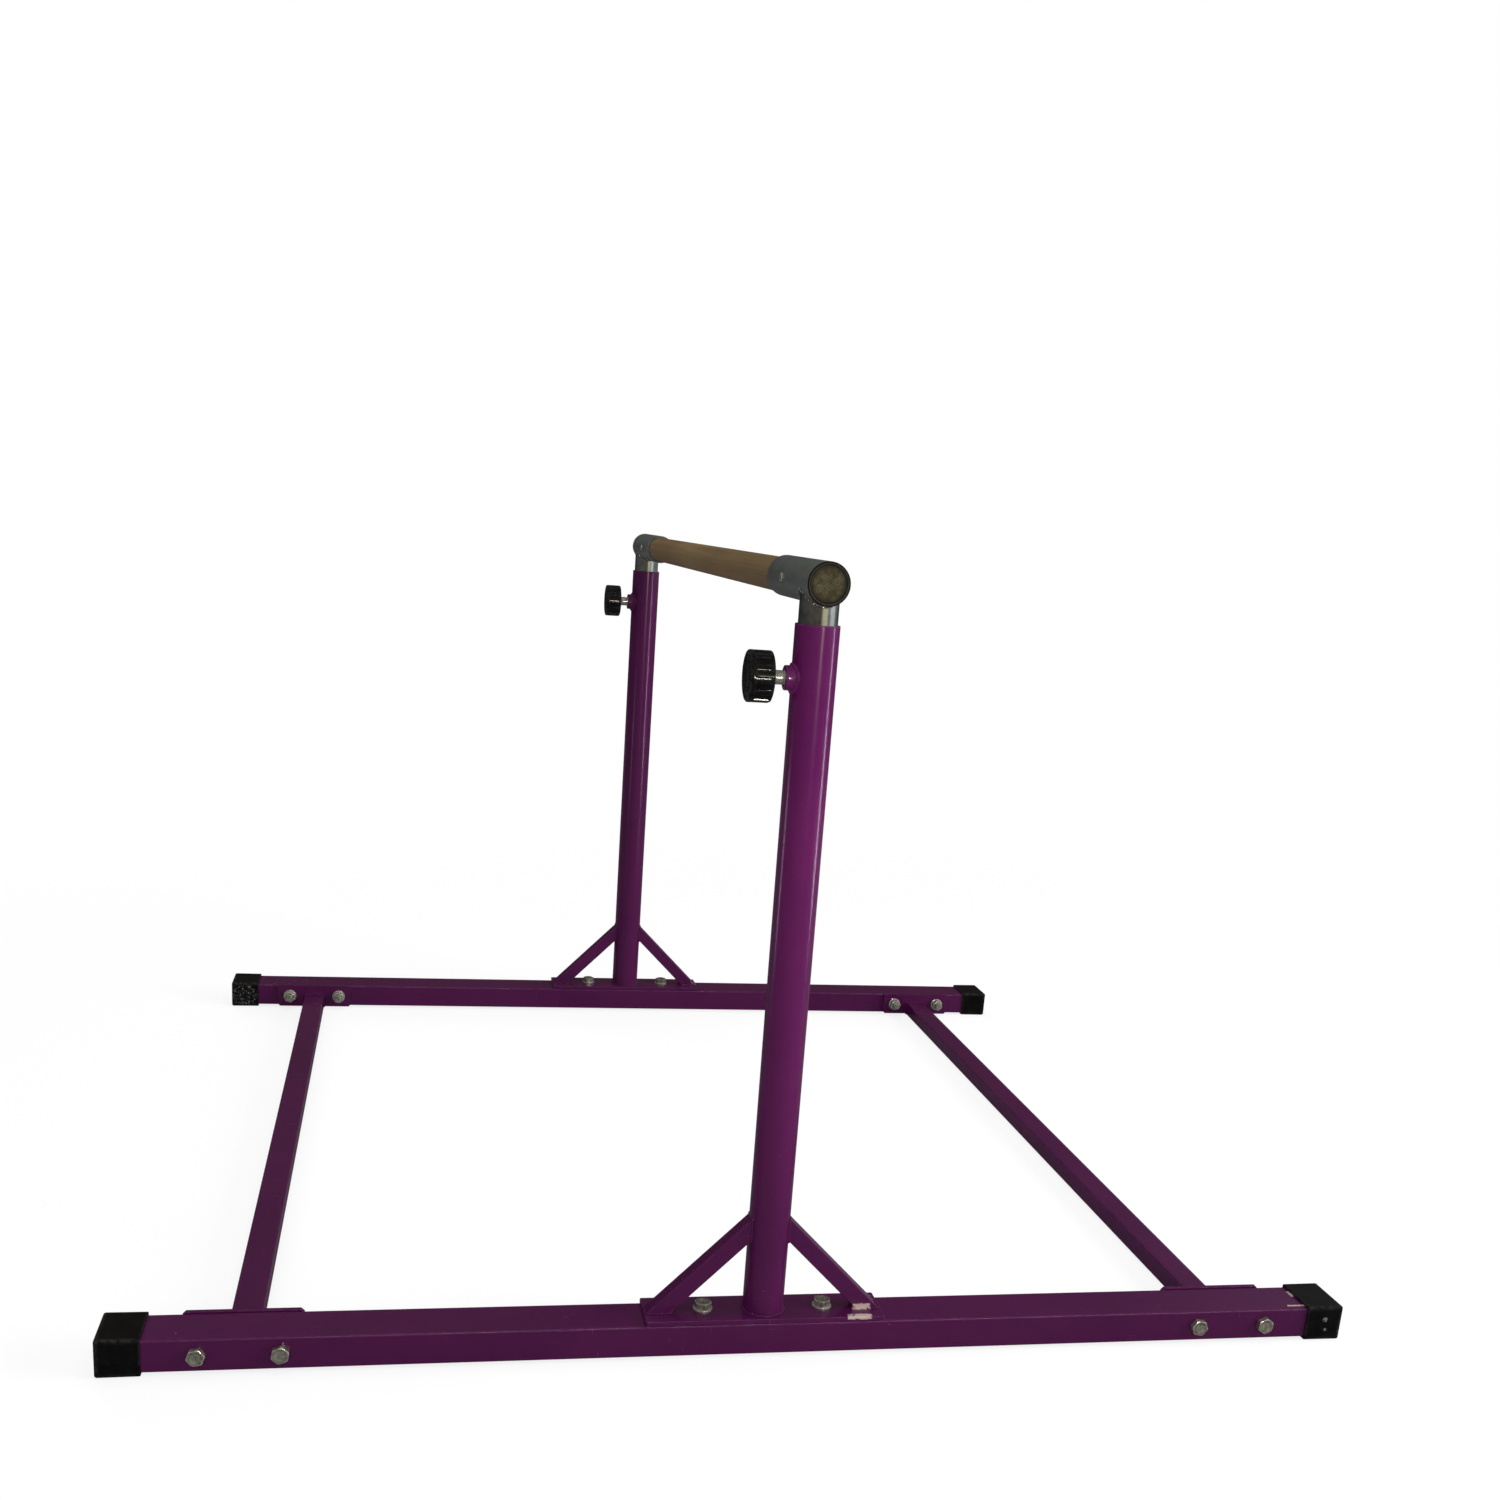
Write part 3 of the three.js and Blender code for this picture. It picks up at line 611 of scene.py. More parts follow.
def black_plastic(name, shine=0.38, scuffs=(), spec=0.15, grain_up=0.25):
    s = Shader(name)
    cloud = s.noise(18, 4, 0.6, seed=21.0)
    grain = s.noise(0.9, 3, 0.6, seed=22.0)
    col = s.mix(s.remap(cloud, 0.35, 0.7), (0.0013, 0.0013, 0.0013), (0.0029, 0.0028, 0.0027))
    dust = s.math("MULTIPLY", s.remap(s.noise(6, 5, 0.65, seed=23.0), 0.52, 0.75), 0.16)
    col = s.mix(dust, col, (0.020, 0.019, 0.018))
    edge = s.math("MULTIPLY", s.attr("edge"), s.remap(s.noise(5, 3, seed=24.0), 0.35, 0.65))
    col = s.mix(s.math("MULTIPLY", edge, 0.35), col, (0.045, 0.044, 0.046))
    scuff = None
    for centre, radius, soft, grain_mm, lo in scuffs:
        q = s.math("MULTIPLY", s.near(centre, radius, soft), s.remap(s.noise(grain_mm * 1.5, 6, 0.78, seed=25.0 + radius), lo, lo + 0.16))
        scuff = q if scuff is None else s.math("MAXIMUM", scuff, q)
    rough = s.math("ADD", s.math("MULTIPLY", cloud, 0.14), shine - 0.05)
    n1 = s.bump(grain, grain_up, 0.12)
    if scuff is not None:
        col = s.mix(s.math("MULTIPLY", scuff, 0.8), col, (0.30, 0.295, 0.29))
        rough = s.fmix(scuff, rough, 0.75)
        n1 = s.bump(scuff, 0.4, 0.3, n1)
    return s.set(color=col, rough=rough, normal=n1, spec=spec)


def zinc(name, base=(0.47, 0.46, 0.40), dark=(0.22, 0.21, 0.17), rough=0.27):
    s = Shader(name)
    cloud = s.noise(5, 4, 0.6, seed=31.0)
    fine = s.noise(0.7, 2, 0.5, seed=32.0)
    col = s.mix(s.remap(cloud, 0.38, 0.66), base, dark)
    col = s.mix(s.math("MULTIPLY", s.remap(s.noise(2.2, 3, seed=33.0), 0.6, 0.72), 0.5), col, (0.55, 0.47, 0.33))
    edge = s.math("MULTIPLY", s.attr("edge"), 0.5)
    col = s.mix(edge, col, (0.68, 0.67, 0.62))
    r = s.math("ADD", s.math("MULTIPLY", cloud, 0.22), rough - 0.08)
    n = s.bump(fine, 0.16, 0.06)
    return s.set(color=col, rough=r, metal=0.72, normal=n)


def bright_tube(name):
    s = Shader(name)
    draw = s.noise(1.4, 3, 0.6, vec=s.scale((1.0, 1.0, 0.02)), seed=41.0)
    cloud = s.noise(12, 4, 0.6, seed=42.0)
    col = s.mix(s.remap(cloud, 0.4, 0.7), (0.46, 0.46, 0.44), (0.30, 0.31, 0.31))
    col = s.mix(s.math("MULTIPLY", s.remap(draw, 0.5, 0.75), 0.35), col, (0.30, 0.31, 0.33))
    rub = s.math("MULTIPLY", s.remap(s.noise(0.9, 2, vec=s.scale((1.0, 1.0, 0.03), (0.0, 0.04, 0.0)), seed=43.0), 0.66, 0.72), 0.6)
    col = s.mix(rub, col, (0.75, 0.74, 0.70))
    r = s.math("ADD", s.math("MULTIPLY", draw, 0.16), 0.13)
    n = s.bump(draw, 0.05, 0.05)
    return s.set(color=col, rough=r, metal=1.0, normal=n)


def grey_steel(name):
    s = Shader(name)
    cloud = s.noise(14, 4, 0.6, seed=51.0)
    fine = s.noise(2.4, 4, 0.65, seed=55.0)
    grain = s.noise(0.8, 3, 0.6, seed=52.0)
    col = s.mix(s.remap(cloud, 0.35, 0.7), (0.078, 0.090, 0.086), (0.120, 0.132, 0.126))
    col = s.mix(s.math("MULTIPLY", s.remap(fine, 0.55, 0.72), 0.35), col, (0.085, 0.092, 0.088))
    line = s.noise(1.0, 2, vec=s.scale((1.0, 0.03, 1.0), (0.06, 0.0, 0.1)), seed=53.0)
    mark = s.math("MULTIPLY", s.remap(line, 0.66, 0.72), s.remap(s.noise(30, 2, seed=54.0), 0.5, 0.62))
    col = s.mix(s.math("MULTIPLY", mark, 0.45), col, (0.40, 0.41, 0.41))
    # sawn ends: the bare end face inside, and an outer band over the rounded rim painted black, a painted shade of the
    # rim
    sep = s.new("ShaderNodeSeparateXYZ")
    s.link(s.pos, sep.inputs[0])
    up = s.math("SUBTRACT", sep.outputs[2], BAR_Z * MM)
    rc = s.math("SQRT", s.math("ADD", s.math("MULTIPLY", sep.outputs[0], sep.outputs[0]), s.math("MULTIPLY", up, up)))
    end = s.remap(s.math("ABSOLUTE", sep.outputs[1]), 0.74935, 0.7498)
    end_face_and_rim_shade = s.mix(s.remap(s.math("ADD", rc, s.math("MULTIPLY", fine, 0.0008)), 0.0222, 0.0227), (0.046, 0.040, 0.028), (0.003, 0.003, 0.003))
    col = s.mix(end, col, end_face_and_rim_shade)
    # painted shade: a dark ring round each screw stands in for the shadow of a recess round its head
    screw_shade_ring = total(s, *[s.near((-23.7, y * (POST_Y - SCREW_IN), BAR_Z), 6.2, 1.2) for y in (-1, 1)])
    col = s.mix(s.math("MULTIPLY", screw_shade_ring, 0.93), col, (0.008, 0.008, 0.007))
    r = s.math("ADD", s.math("MULTIPLY", cloud, 0.16), 0.28)
    n = s.bump(grain, 0.22, 0.08)
    return s.set(color=col, rough=r, metal=0.35, normal=n)


def weld_metal(name):
    s = Shader(name)
    cloud = s.noise(4, 4, 0.6, seed=81.0)
    col = s.mix(s.remap(cloud, 0.38, 0.62), (0.42, 0.41, 0.37), (0.070, 0.067, 0.060))
    col = s.mix(s.math("MULTIPLY", s.remap(s.noise(1.4, 3, 0.6, seed=82.0), 0.58, 0.66), 0.6), col, (0.85, 0.84, 0.80))
    r = s.math("ADD", s.math("MULTIPLY", cloud, 0.20), 0.06)
    n = s.bump(s.noise(0.8, 3, 0.6, seed=83.0), 0.30, 0.15)
    return s.set(color=col, rough=r, metal=0.85, normal=n)


def wood(name, axis_z=BAR_Z):
    """Ash-like round stock along Y: growth rings about a pith that lies off the bar's axis."""
    s = Shader(name)
    warp = s.noise(60, 2, vec=s.scale((1.0, 0.12, 1.0)), seed=61.0)
    warp2 = s.noise(9, 3, 0.6, vec=s.scale((1.0, 0.05, 1.0)), seed=62.0)
    sep = s.new("ShaderNodeSeparateXYZ")
    s.link(s.pos, sep.inputs[0])
    dx = s.math("SUBTRACT", sep.outputs[0], 0.026)
    dz = s.math("SUBTRACT", sep.outputs[2], axis_z * MM - 0.031)
    rad = s.math("SQRT", s.math("ADD", s.math("MULTIPLY", dx, dx), s.math("MULTIPLY", dz, dz)))
    rad = s.math("ADD", rad, s.math("MULTIPLY", warp, 0.010))
    rad = s.math("ADD", rad, s.math("MULTIPLY", warp2, 0.0012))
    saw = s.math("FRACT", s.math("MULTIPLY", rad, 1 / 0.0031))
    late = s.remap(saw, 0.45, 0.95)
    fall = s.remap(saw, 0.95, 1.0, 1.0, 0.0)
    late = s.math("MULTIPLY", late, fall)
    pores = s.noise(0.55, 2, 0.5, vec=s.scale((1.0, 0.035, 1.0)), seed=63.0)
    pores = s.math("MULTIPLY", s.remap(pores, 0.60, 0.70), s.remap(saw, 0.0, 0.45, 1.0, 0.35))
    ray = s.noise(1.2, 3, 0.6, vec=s.scale((1.0, 0.02, 1.0)), seed=64.0)
    tone = s.noise(120, 2, vec=s.scale((1.0, 0.3, 1.0)), seed=65.0)
    light, mid, dark = (0.190, 0.126, 0.056), (0.136, 0.088, 0.038), (0.068, 0.042, 0.017)
    col = s.mix(s.remap(tone, 0.3, 0.7), light, mid)
    col = s.mix(s.math("MULTIPLY", late, 0.42), col, dark)
    col = s.mix(s.math("MULTIPLY", s.remap(ray, 0.45, 0.75), 0.30), col, dark)
    col = s.mix(s.math("MULTIPLY", pores, 0.55), col, (0.050, 0.031, 0.016))
    # cut ends: darker, duller, filled with dust, and darkened towards the rim as painted shade of the gap inside the
    # sleeve's mouth
    y = s.math("ABSOLUTE", sep.outputs[1])
    cut = s.remap(y, 0.74745, 0.7478, 0.0, 1.0)
    blotch = s.noise(7, 4, 0.65, seed=66.0)
    mottle = s.noise(2.0, 4, 0.65, seed=67.0)
    endc = s.mix(s.remap(blotch, 0.38, 0.66), (0.0320, 0.0270, 0.0120), (0.070, 0.060, 0.0290))
    endc = s.mix(s.math("MULTIPLY", late, 0.55), endc, (0.030, 0.021, 0.011))
    endc = s.mix(s.math("MULTIPLY", s.remap(mottle, 0.55, 0.7), 0.6), endc, (0.140, 0.124, 0.074))
    cdx = sep.outputs[0]
    cdz = s.math("SUBTRACT", sep.outputs[2], axis_z * MM)
    rc = s.math("SQRT", s.math("ADD", s.math("MULTIPLY", cdx, cdx), s.math("MULTIPLY", cdz, cdz)))
    # painted shade: the end grain darkens towards its rim, where the gap inside the sleeve lies in shadow
    endc = s.mix(s.math("MULTIPLY", s.remap(rc, 0.0135, 0.0195), 0.7), endc, (0.014, 0.011, 0.007))
    col = s.mix(cut, col, endc)
    # a little rougher along the rays, dull on the cut ends
    rough = s.math("ADD", s.math("MULTIPLY", ray, 0.18), 0.42)
    rough = s.fmix(cut, rough, 0.62)
    h = s.math("SUBTRACT", s.math("MULTIPLY", late, 0.3), s.math("ADD", pores, s.math("MULTIPLY", cut, s.math("MULTIPLY", mottle, 1.6))))
    n = s.bump(h, 0.30, 0.14)
    return s.set(color=col, rough=rough, normal=n, coat=0.04, coat_rough=0.35, spec=0.25)


PURPLE = purple_paint("purple_steel")
PURPLE_POST = PURPLE
BLACK_CAP = black_plastic("rubber_caps", 0.40, (
    ((-768, 712, 22), 16, 12, 2.6, 0.50),
    ((-744, 679, 22), 18, 8, 2.2, 0.52),
    ((768, -722, 26), 2, 3, 1.8, 0.50),
    ((768, -700, 17), 3, 3, 1.6, 0.50),
    ((744, -746, 29), 2, 2.5, 1.6, 0.42),
    ((746, -746, 15), 1.3, 2, 1.3, 0.42),
    ((766, -746, 12), 1, 2, 1.2, 0.42),
))
ZINC = zinc("zinc_fasteners", (0.30, 0.295, 0.24), (0.13, 0.126, 0.095), 0.24)
ZINC_BRIGHT = zinc("zinc_bright", (0.38, 0.375, 0.34), (0.16, 0.158, 0.14), 0.18)
TUBE = bright_tube("bright_zinc_tube")
GREY = grey_steel("grey_sleeve")
WELD = weld_metal("bare_weld")
WOOD = wood("bar_wood")
KNOB = black_plastic("black_knobs", 0.15, (), 0.24, 0.05)

# ------------------------------------------------------------------ floor frame
X, Y, Z = (1, 0, 0), (0, 1, 0), (0, 0, 1)
NX, NY, NZ = (-1, 0, 0), (0, -1, 0), (0, 0, -1)
rnd = random.Random(7)

for side, s in (("near", -1), ("far", 1)):
    yc = s * POST_Y
    # base tube: outline's first axis on Y, second on Z, run along X
    p = Part()
    put = axes((0, yc, BASE_MID), Y, Z, X)
    pipe(p, put, round_rect(BASE_W, BASE_H, BASE_R, 6, 2.0), -BASE_HALF, BASE_HALF, BASE_WALL, 0.5,
         mids=[-620, -500, -250, 0, 250, 500, 620])
    # nuts fixed under the top wall for the bolts of the upright
    for h in (-1, 1):
        put = axes((h * POST_BOLT_X, yc, BASE_TOP - BASE_WALL + 0.1), X, NY, NZ)
        rings, edges, cs = hex_rings(put, 19.0, 10.5, 0.0, both=True)
        rings += [put(cs * 7.0, 10.5), put(cs * 6.15, 9.7), put(cs * 6.15, 0.4)]
        edges += [np.full(len(cs), 0.6), np.full(len(cs), 0.3), np.zeros(len(cs))]
        p.loft(rings, edges, loop=True)
    finish_mesh(f"{side}_base_tube_body", p, [PURPLE], "frame", [f"{side}_base_tube"])

    for hand, h in (("left", -1), ("right", 1)):
        # end cap: moulded cup with rounded outer edges, a thin lip and shallow draft
        p = Part()
        put = axes((h * CAP_OUT, yc, CAP_H / 2), (0, h, 0), Z, (-h, 0, 0))
        shell = round_rect(CAP_W, CAP_H, CAP_R, 6, 2.5)
        inner = round_rect(BASE_W + 0.4, BASE_H + 0.4, BASE_R, 6, 2.0)
        rings, edges = [], []

        def add_ring(outline, d, w, ed=None, dz=0.0):
            pts, own = outline(d)
            pts = pts + np.array([0.0, dz])
            rings.append(put(pts, w))
            edges.append(own if ed is None else np.full(len(pts), ed))

        er = 3.2
        add_ring(shell, er + 4.0, 0.0, 0.0)
        add_ring(shell, er + 1.0, 0.0, 0.0)
        for k in range(7):
            a = k / 6 * math.pi / 2
            add_ring(shell, er * (1 - math.sin(a)), er * (1 - math.cos(a)), 0.8)
        add_ring(shell, 0.0, er + 2.5)
        add_ring(shell, 0.25, CAP_LEN - 3.2)
        add_ring(shell, 0.25, CAP_LEN - 1.0, 0.3)
        for k in range(3):
            a = k / 2 * math.pi / 2
            add_ring(shell, 0.25 + 0.9 * (1 - math.cos(a)), CAP_LEN - 0.9 * (1 - math.sin(a)), 0.8)
        dz = BASE_MID - CAP_H / 2
        add_ring(inner, -0.6, CAP_LEN - 0.2, 0.6, dz)
        add_ring(inner, 0.0, CAP_LEN - 1.0, 0.2, dz)
        add_ring(inner, 0.0, CAP_END, 0.0, dz)
        p.loft(rings, edges)
        finish_mesh(f"{side}_{hand}_cap", p, [BLACK_CAP], "frame", [f"{side}_{hand}_base_cap"], 40)

        # rail end plate with clipped corners
        c, hw = 4.0, PLATE_LEN / 2
        outline = round_poly([(-hw + c, 0), (hw - c, 0), (hw, c), (hw, PLATE_H - c), (hw - c, PLATE_H),
                              (-hw + c, PLATE_H), (-hw, PLATE_H - c), (-hw, c)], 0.9)
        p = Part()
        put = axes((h * RAIL_X, 0, PLATE_Z0), X, Z, NY)
        prism(p, put, outline, -s * PLATE_IN, -s * PLATE_OUT, 0.55, 3)
        finish_mesh(f"{side}_{hand}_end_plate", p, [PURPLE], "frame", [f"{side}_{hand}_rail_plate"])

        # weld all round the rail where it meets the plate
        p = Part()
        pts, _ = round_rect(RAIL_W + 1.6, RAIL_H + 1.6, RAIL_R + 0.8, 4, 3.0)(0)
        path = axes((h * RAIL_X, s * RAIL_END, RAIL_MID), X, Z, Y)(pts, 0)
        path[:, 2] = np.maximum(path[:, 2], 2.3)
        bead(p, path, np.c_[pts[:, 0], np.zeros(len(pts)), pts[:, 1]], 1.7, 2.6, True, 11 + h + s)
        finish_mesh(f"{side}_{hand}_rail_weld", p, [PURPLE], "frame", angle=60)

        # bolts through the base tube and the plate, with nuts and washers on the inner side
        for end, b in (("a", -1), ("b", 1)):
            x = h * RAIL_X + b * BOLT_OFF
            turn = rnd.uniform(0, math.pi / 3)
            face = s * (POST_Y + BASE_W / 2)
            p = Part()
            put = axes((x, face, BOLT_Z), (s, 0, 0), Z, (0, s, 0))
            rings, edges, cs = hex_rings(put, 19.0, 7.5, turn)
            rings.append(put(cs * 6.4, 7.42))
            edges.append(np.zeros(len(cs)))
            rings.append(put(cs * 5.4, 7.0))
            edges.append(np.full(len(cs), 0.3))
            p.loft(rings, edges, start="cap", end="fan")
            lathe(p, put, [(0, 1.0), (5.9, 1.0), (5.9, -58.3), (0, -58.3)], 28)
            tip = -89.5
            screw_thread(p, put, 6.0, 0.75, 1.75, -58.0, tip)
            finish_mesh(f"{side}_{hand}_bolt_{end}", p, [ZINC], "frame", [f"{side}_{hand}_rail_bolt_{end}"],
                        28)
            p = Part()
            put = axes((x, s * RAIL_END, BOLT_Z), (-s, 0, 0), Z, (0, -s, 0))
            prof, ed = softened([(6.4, 0.0), (12.0, 0.0), (12.0, 2.3), (6.4, 2.3)], 0.45, 2, True)
            lathe(p, put, prof, 48, True, ed, 0)
            put = axes((x, s * (RAIL_END - 2.4), BOLT_Z), (-s, 0, 0), Z, (0, -s, 0))
            rings, edges, cs = hex_rings(put, 19.0, 10.0, turn + 0.3, both=True)
            rings += [put(cs * 7.0, 10.0), put(cs * 6.15, 9.1), put(cs * 6.15, 0.4)]
            edges += [np.full(len(cs), 0.6), np.full(len(cs), 0.3), np.zeros(len(cs))]
            p.loft(rings, edges, loop=True)
            finish_mesh(f"{side}_{hand}_nut_{end}", p, [ZINC_BRIGHT], "frame", [f"{side}_{hand}_rail_nut_{end}"],
                        28)

for hand, h in (("left", -1), ("right", 1)):
    p = Part()
    put = axes((h * RAIL_X, 0, RAIL_MID), X, Z, NY)
    pipe(p, put, round_rect(RAIL_W, RAIL_H, RAIL_R, 5, 2.0), -RAIL_END, RAIL_END, 2.0, 0.4,
         mids=[-450, -225, 0, 225, 450])
    finish_mesh(f"{hand}_rail_tube", p, [PURPLE], "frame", [f"{hand}_side_rail"])

# ------------------------------------------------------------------ uprights
for side, s in (("near", -1), ("far", 1)):
    yc = s * POST_Y
    p = Part()
    prism(p, axes((0, yc, 0), X, Y, Z), round_rect(FOOT_LEN, FOOT_W, 1.6, 4, 2.0), FOOT_Z0, FOOT_Z1, 0.7, 3)
    finish_mesh(f"{side}_foot_plate", p, [PURPLE], "frame", [f"{side}_post_base_plate"])

    for hand, h in (("left", -1), ("right", 1)):
        x = h * POST_BOLT_X
        p = Part()
        put = axes((x, yc, FOOT_Z1 + 0.02), X, Y, Z)
        prof, ed = softened([(6.4, 0.0), (12.0, 0.0), (12.0, 2.3), (6.4, 2.3)], 0.45, 2, True)
        lathe(p, put, prof, 48, True, ed)
        put = axes((x, yc, FOOT_Z1 + 2.35), X, Y, Z)
        rings, edges, cs = hex_rings(put, 19.0, 7.6, 0.2 + 0.37 * (h + 2 * s))
        rings += [put(cs * 6.4, 7.5), put(cs * 5.4, 7.1)]
        edges += [np.zeros(len(cs)), np.full(len(cs), 0.3)]
        p.loft(rings, edges, start="cap", end="fan")
        lathe(p, put, [(0, 1.0), (5.9, 1.0), (5.9, -7.3), (0, -7.3)], 28)
        screw_thread(p, put, 6.0, 0.75, 1.75, -7.0, -31.0)
        finish_mesh(f"{side}_plate_bolt_{hand}", p, [ZINC], "frame", [f"{side}_post_bolt_{hand}"],
                    28)

    # post: open-topped round tube
    p = Part()
    put = axes((0, yc, 0), X, Y, Z)
    pipe(p, put, circle(POST_R, 80), FOOT_Z1 - 0.1, POST_TOP, POST_WALL, 0.55, 3,
         mids=[90, 180, 300, 420, 540, 660, 760, 800, 840])
    finish_mesh(f"{side}_post", p, [PURPLE_POST], "frame", [f"{side}_post_tube"])

    # weld round the foot of the post
    p = Part()
    a = np.linspace(0, 2 * math.pi, 120, endpoint=False)
    path = np.c_[(POST_R + 0.6) * np.cos(a), yc + (POST_R + 0.6) * np.sin(a), np.full(120, FOOT_Z1 + 0.5)]
    bead(p, path, np.c_[np.cos(a), np.sin(a), np.zeros(120)], 1.5, 2.3, True, 31 + s, 0.30, uneven=0.13)
    finish_mesh(f"{side}_post_foot_weld", p, [PURPLE_POST], "frame", angle=60)

    for hand, h in (("left", -1), ("right", 1)):
        # brace: square tube at 45 degrees, cut flat at its foot and to the post's curve at its top
        d = BRACE_S / 2
        foot_x = BRACE_FOOT_X - d * math.sqrt(2)
        q = math.sqrt(0.5)
        W = np.array([-h * q, 0.0, q])
        V = np.array([h * q, 0.0, q])
        U = np.array([0.0, 1.0, 0.0])
        O = np.array([h * foot_x, yc, FOOT_Z1])
        pts, ed = round_rect(BRACE_S, BRACE_S, 1.3, 4, 1.6)(0)
        base = O + pts[:, :1] * U + pts[:, 1:2] * V
        t0 = (FOOT_Z1 - 0.1 - base[:, 2]) / W[2]
        R = POST_R - 0.4
        xt = h * np.sqrt(np.maximum(R * R - (base[:, 1] - yc) ** 2, 0))
        t1 = (xt - base[:, 0]) / W[0]
        rings, edges = [], []
        for k, f in enumerate((0.0, 0.02, 0.25, 0.5, 0.75, 0.98, 1.0)):
            t = t0 + (t1 - t0) * f
            rings.append(base + t[:, None] * W)
            edges.append(ed)
        p = Part()
        p.loft(rings, edges, start="cap", end="fan")
        finish_mesh(f"{side}_{hand}_brace_tube", p, [PURPLE], "frame", [f"{side}_{hand}_brace"])

        # welds at both ends of the brace
        p = Part()
        pts2, _ = round_rect(BRACE_S + 1.2, BRACE_S + 1.2, 2.3, 4, 2.0)(0)
        base2 = O + pts2[:, :1] * U + pts2[:, 1:2] * V
        tt = (FOOT_Z1 + 0.5 - base2[:, 2]) / W[2]
        foot_path = base2 + tt[:, None] * W
        foot_path[:, 0] = np.clip(foot_path[:, 0], -145.2, 145.2)
        ref = foot_path - foot_path.mean(axis=0)
        bead(p, foot_path, ref, 1.5, 2.1, True, 41 + h + 3 * s, 0.32, uneven=0.12)
        R2 = POST_R + 0.5
        xt = h * np.sqrt(np.maximum(R2 * R2 - (base2[:, 1] - yc) ** 2, 0))
        tt = (xt - base2[:, 0]) / W[0]
        top_path = base2 + tt[:, None] * W
        ref = top_path - top_path.mean(axis=0)
        bead(p, top_path, ref, 1.4, 2.3, True, 51 + h + 3 * s, 0.25, uneven=0.10)
        finish_mesh(f"{side}_{hand}_brace_welds", p, [PURPLE], "frame", angle=60)

    # boss on the post with its paint-filled weld
    p = Part()
    put = axes((0, yc, PIN_Z), NY, Z, NX)
    n = 72
    a = np.arange(n) * 2 * math.pi / n
    cs = np.c_[np.cos(a), np.sin(a)]

    def saddle(r, radius):
        return np.sqrt(np.maximum(radius ** 2 - (r * np.cos(a)) ** 2, 0))

    wob = 0.35 * np.sin(3 * a + s) + 0.25 * np.sin(7 * a + 1.3) + 0.15 * np.sin(17 * a)
    low = 0.9 * np.maximum(-np.sin(a), 0)
    rings = [put(cs * 8.3, 32.7), put(cs * 8.8, 33.2), put(cs * 12.7, 33.2), put(cs * 13.35, 32.95), put(cs * 13.7, 32.3),
             put(cs * 13.7, 30.0), put(cs * 13.7, saddle(13.7, POST_R) + 3.9 + 0.3 * wob),
             put(cs * (14.1 + 0.25 * wob)[:, None], saddle(14.1, POST_R) + 2.5 + 0.3 * wob),
             put(cs * (15.1 + 0.5 * wob + 0.5 * low)[:, None], saddle(15.1, POST_R) + 1.2),
             put(cs * (16.9 + 0.8 * wob + low)[:, None], saddle(16.9, POST_R) + 0.25),
             put(cs * (17.4 + 0.8 * wob + low)[:, None], saddle(17.4, POST_R - 0.5)),
             put(cs * 8.3, saddle(8.3, POST_R - 0.5))]
    edges = [np.full(n, v) for v in (0.3, 0.6, 0.6, 0.9, 0.5, 0, 0, 0, 0, 0.3, 0, 0)]
    p.loft(rings, edges, loop=True)
    path = put(cs * (15.2 + 0.4 * wob)[:, None], saddle(15.2, POST_R) + 0.3)
    bead(p, path, path - np.array([0, yc, PIN_Z]), 1.7, 3.0, True, 61 + s, 0.2, uneven=0.10)
    finish_mesh(f"{side}_boss", p, [PURPLE_POST], "frame", [f"{side}_pin_boss"], 40)

    # barrel: bright turned sleeve with a shallow groove
    p = Part()
    prof, ed = softened([(6.1, 25.4), (7.9, 25.4), (7.9, 33.2), (7.35, 33.6), (7.35, 34.6), (7.9, 35.0), (7.9, 46.8), (3.4, 46.8),
                         (3.4, 44.3), (6.1, 44.3)], 0.4, 2, True)
    lathe(p, put, prof, 48, True, ed)
    finish_mesh(f"{side}_barrel", p, [ZINC_BRIGHT], "frame", [f"{side}_pin_barrel"], 35)

    # return spring
    p = Part()
    turns, steps = 5, 150
    rings = []
    x0, x1 = -31.75, -43.5
    for k in range(steps + 1):
        t = k / steps
        ang = 2 * math.pi * turns * t
        c = np.array([x0 + (x1 - x0) * t, yc + 4.6 * math.cos(ang), PIN_Z + 4.6 * math.sin(ang)])
        out = np.array([0.0, math.cos(ang), math.sin(ang)])
        wa = np.arange(8) * 2 * math.pi / 8
        rings.append(c + 0.45 * (np.cos(wa)[:, None] * out + np.sin(wa)[:, None] * np.array([1.0, 0, 0])))
    p.loft(rings, start="fan", end="fan")
    spring = finish_mesh(f"{side}_spring", p, [ZINC_BRIGHT], "frame", [f"{side}_pin_spring"], 60)
    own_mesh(spring)

    # locking pin: nose, collar and stem
    p = Part()
    prof = [(0, 15.5), (3.3, 15.5), (4.3, 16.1), (4.8, 17.2), (4.8, 27.6), (5.3, 28.0), (5.6, 28.3), (5.6, 30.7), (5.3, 31.0),
            (3.0, 31.0), (3.0, 61.4), (2.5, 61.9), (0, 62.0)]
    lathe(p, put, prof, 32, edges=[0, .5, .9, .2, 0, .6, .9, .9, .6, 0, 0, .5, 0])
    finish_mesh(f"{side}_pin", p, [ZINC_BRIGHT], f"{side}_pin", [f"{side}_lock_pin"], 35)

    # fluted knob with a plain rim at its front
    p = Part()
    n = 12 * 26
    ka = np.arange(n) * 2 * math.pi / n
    kcs = np.c_[np.cos(ka), np.sin(ka)]
    off = np.abs((np.degrees(ka) - (10.5 if s < 0 else 15.0) + 15.0) % 30.0 - 15.0)
    wall = np.clip((9.6 - off) / 2.0, 0, 1)
    flute = 1.4 * wall * wall * (3 - 2 * wall)
    crest = np.where(np.abs(off - 9.8) < 0.9, 1.0, 0.0)
    rings, edges = [], []

    def kring(r, w, ed=0.0, cut=0.0):
        rings.append(put(kcs * np.minimum(28.5 - flute * cut, r)[:, None], w))
        edges.append(np.maximum(crest * cut, ed))

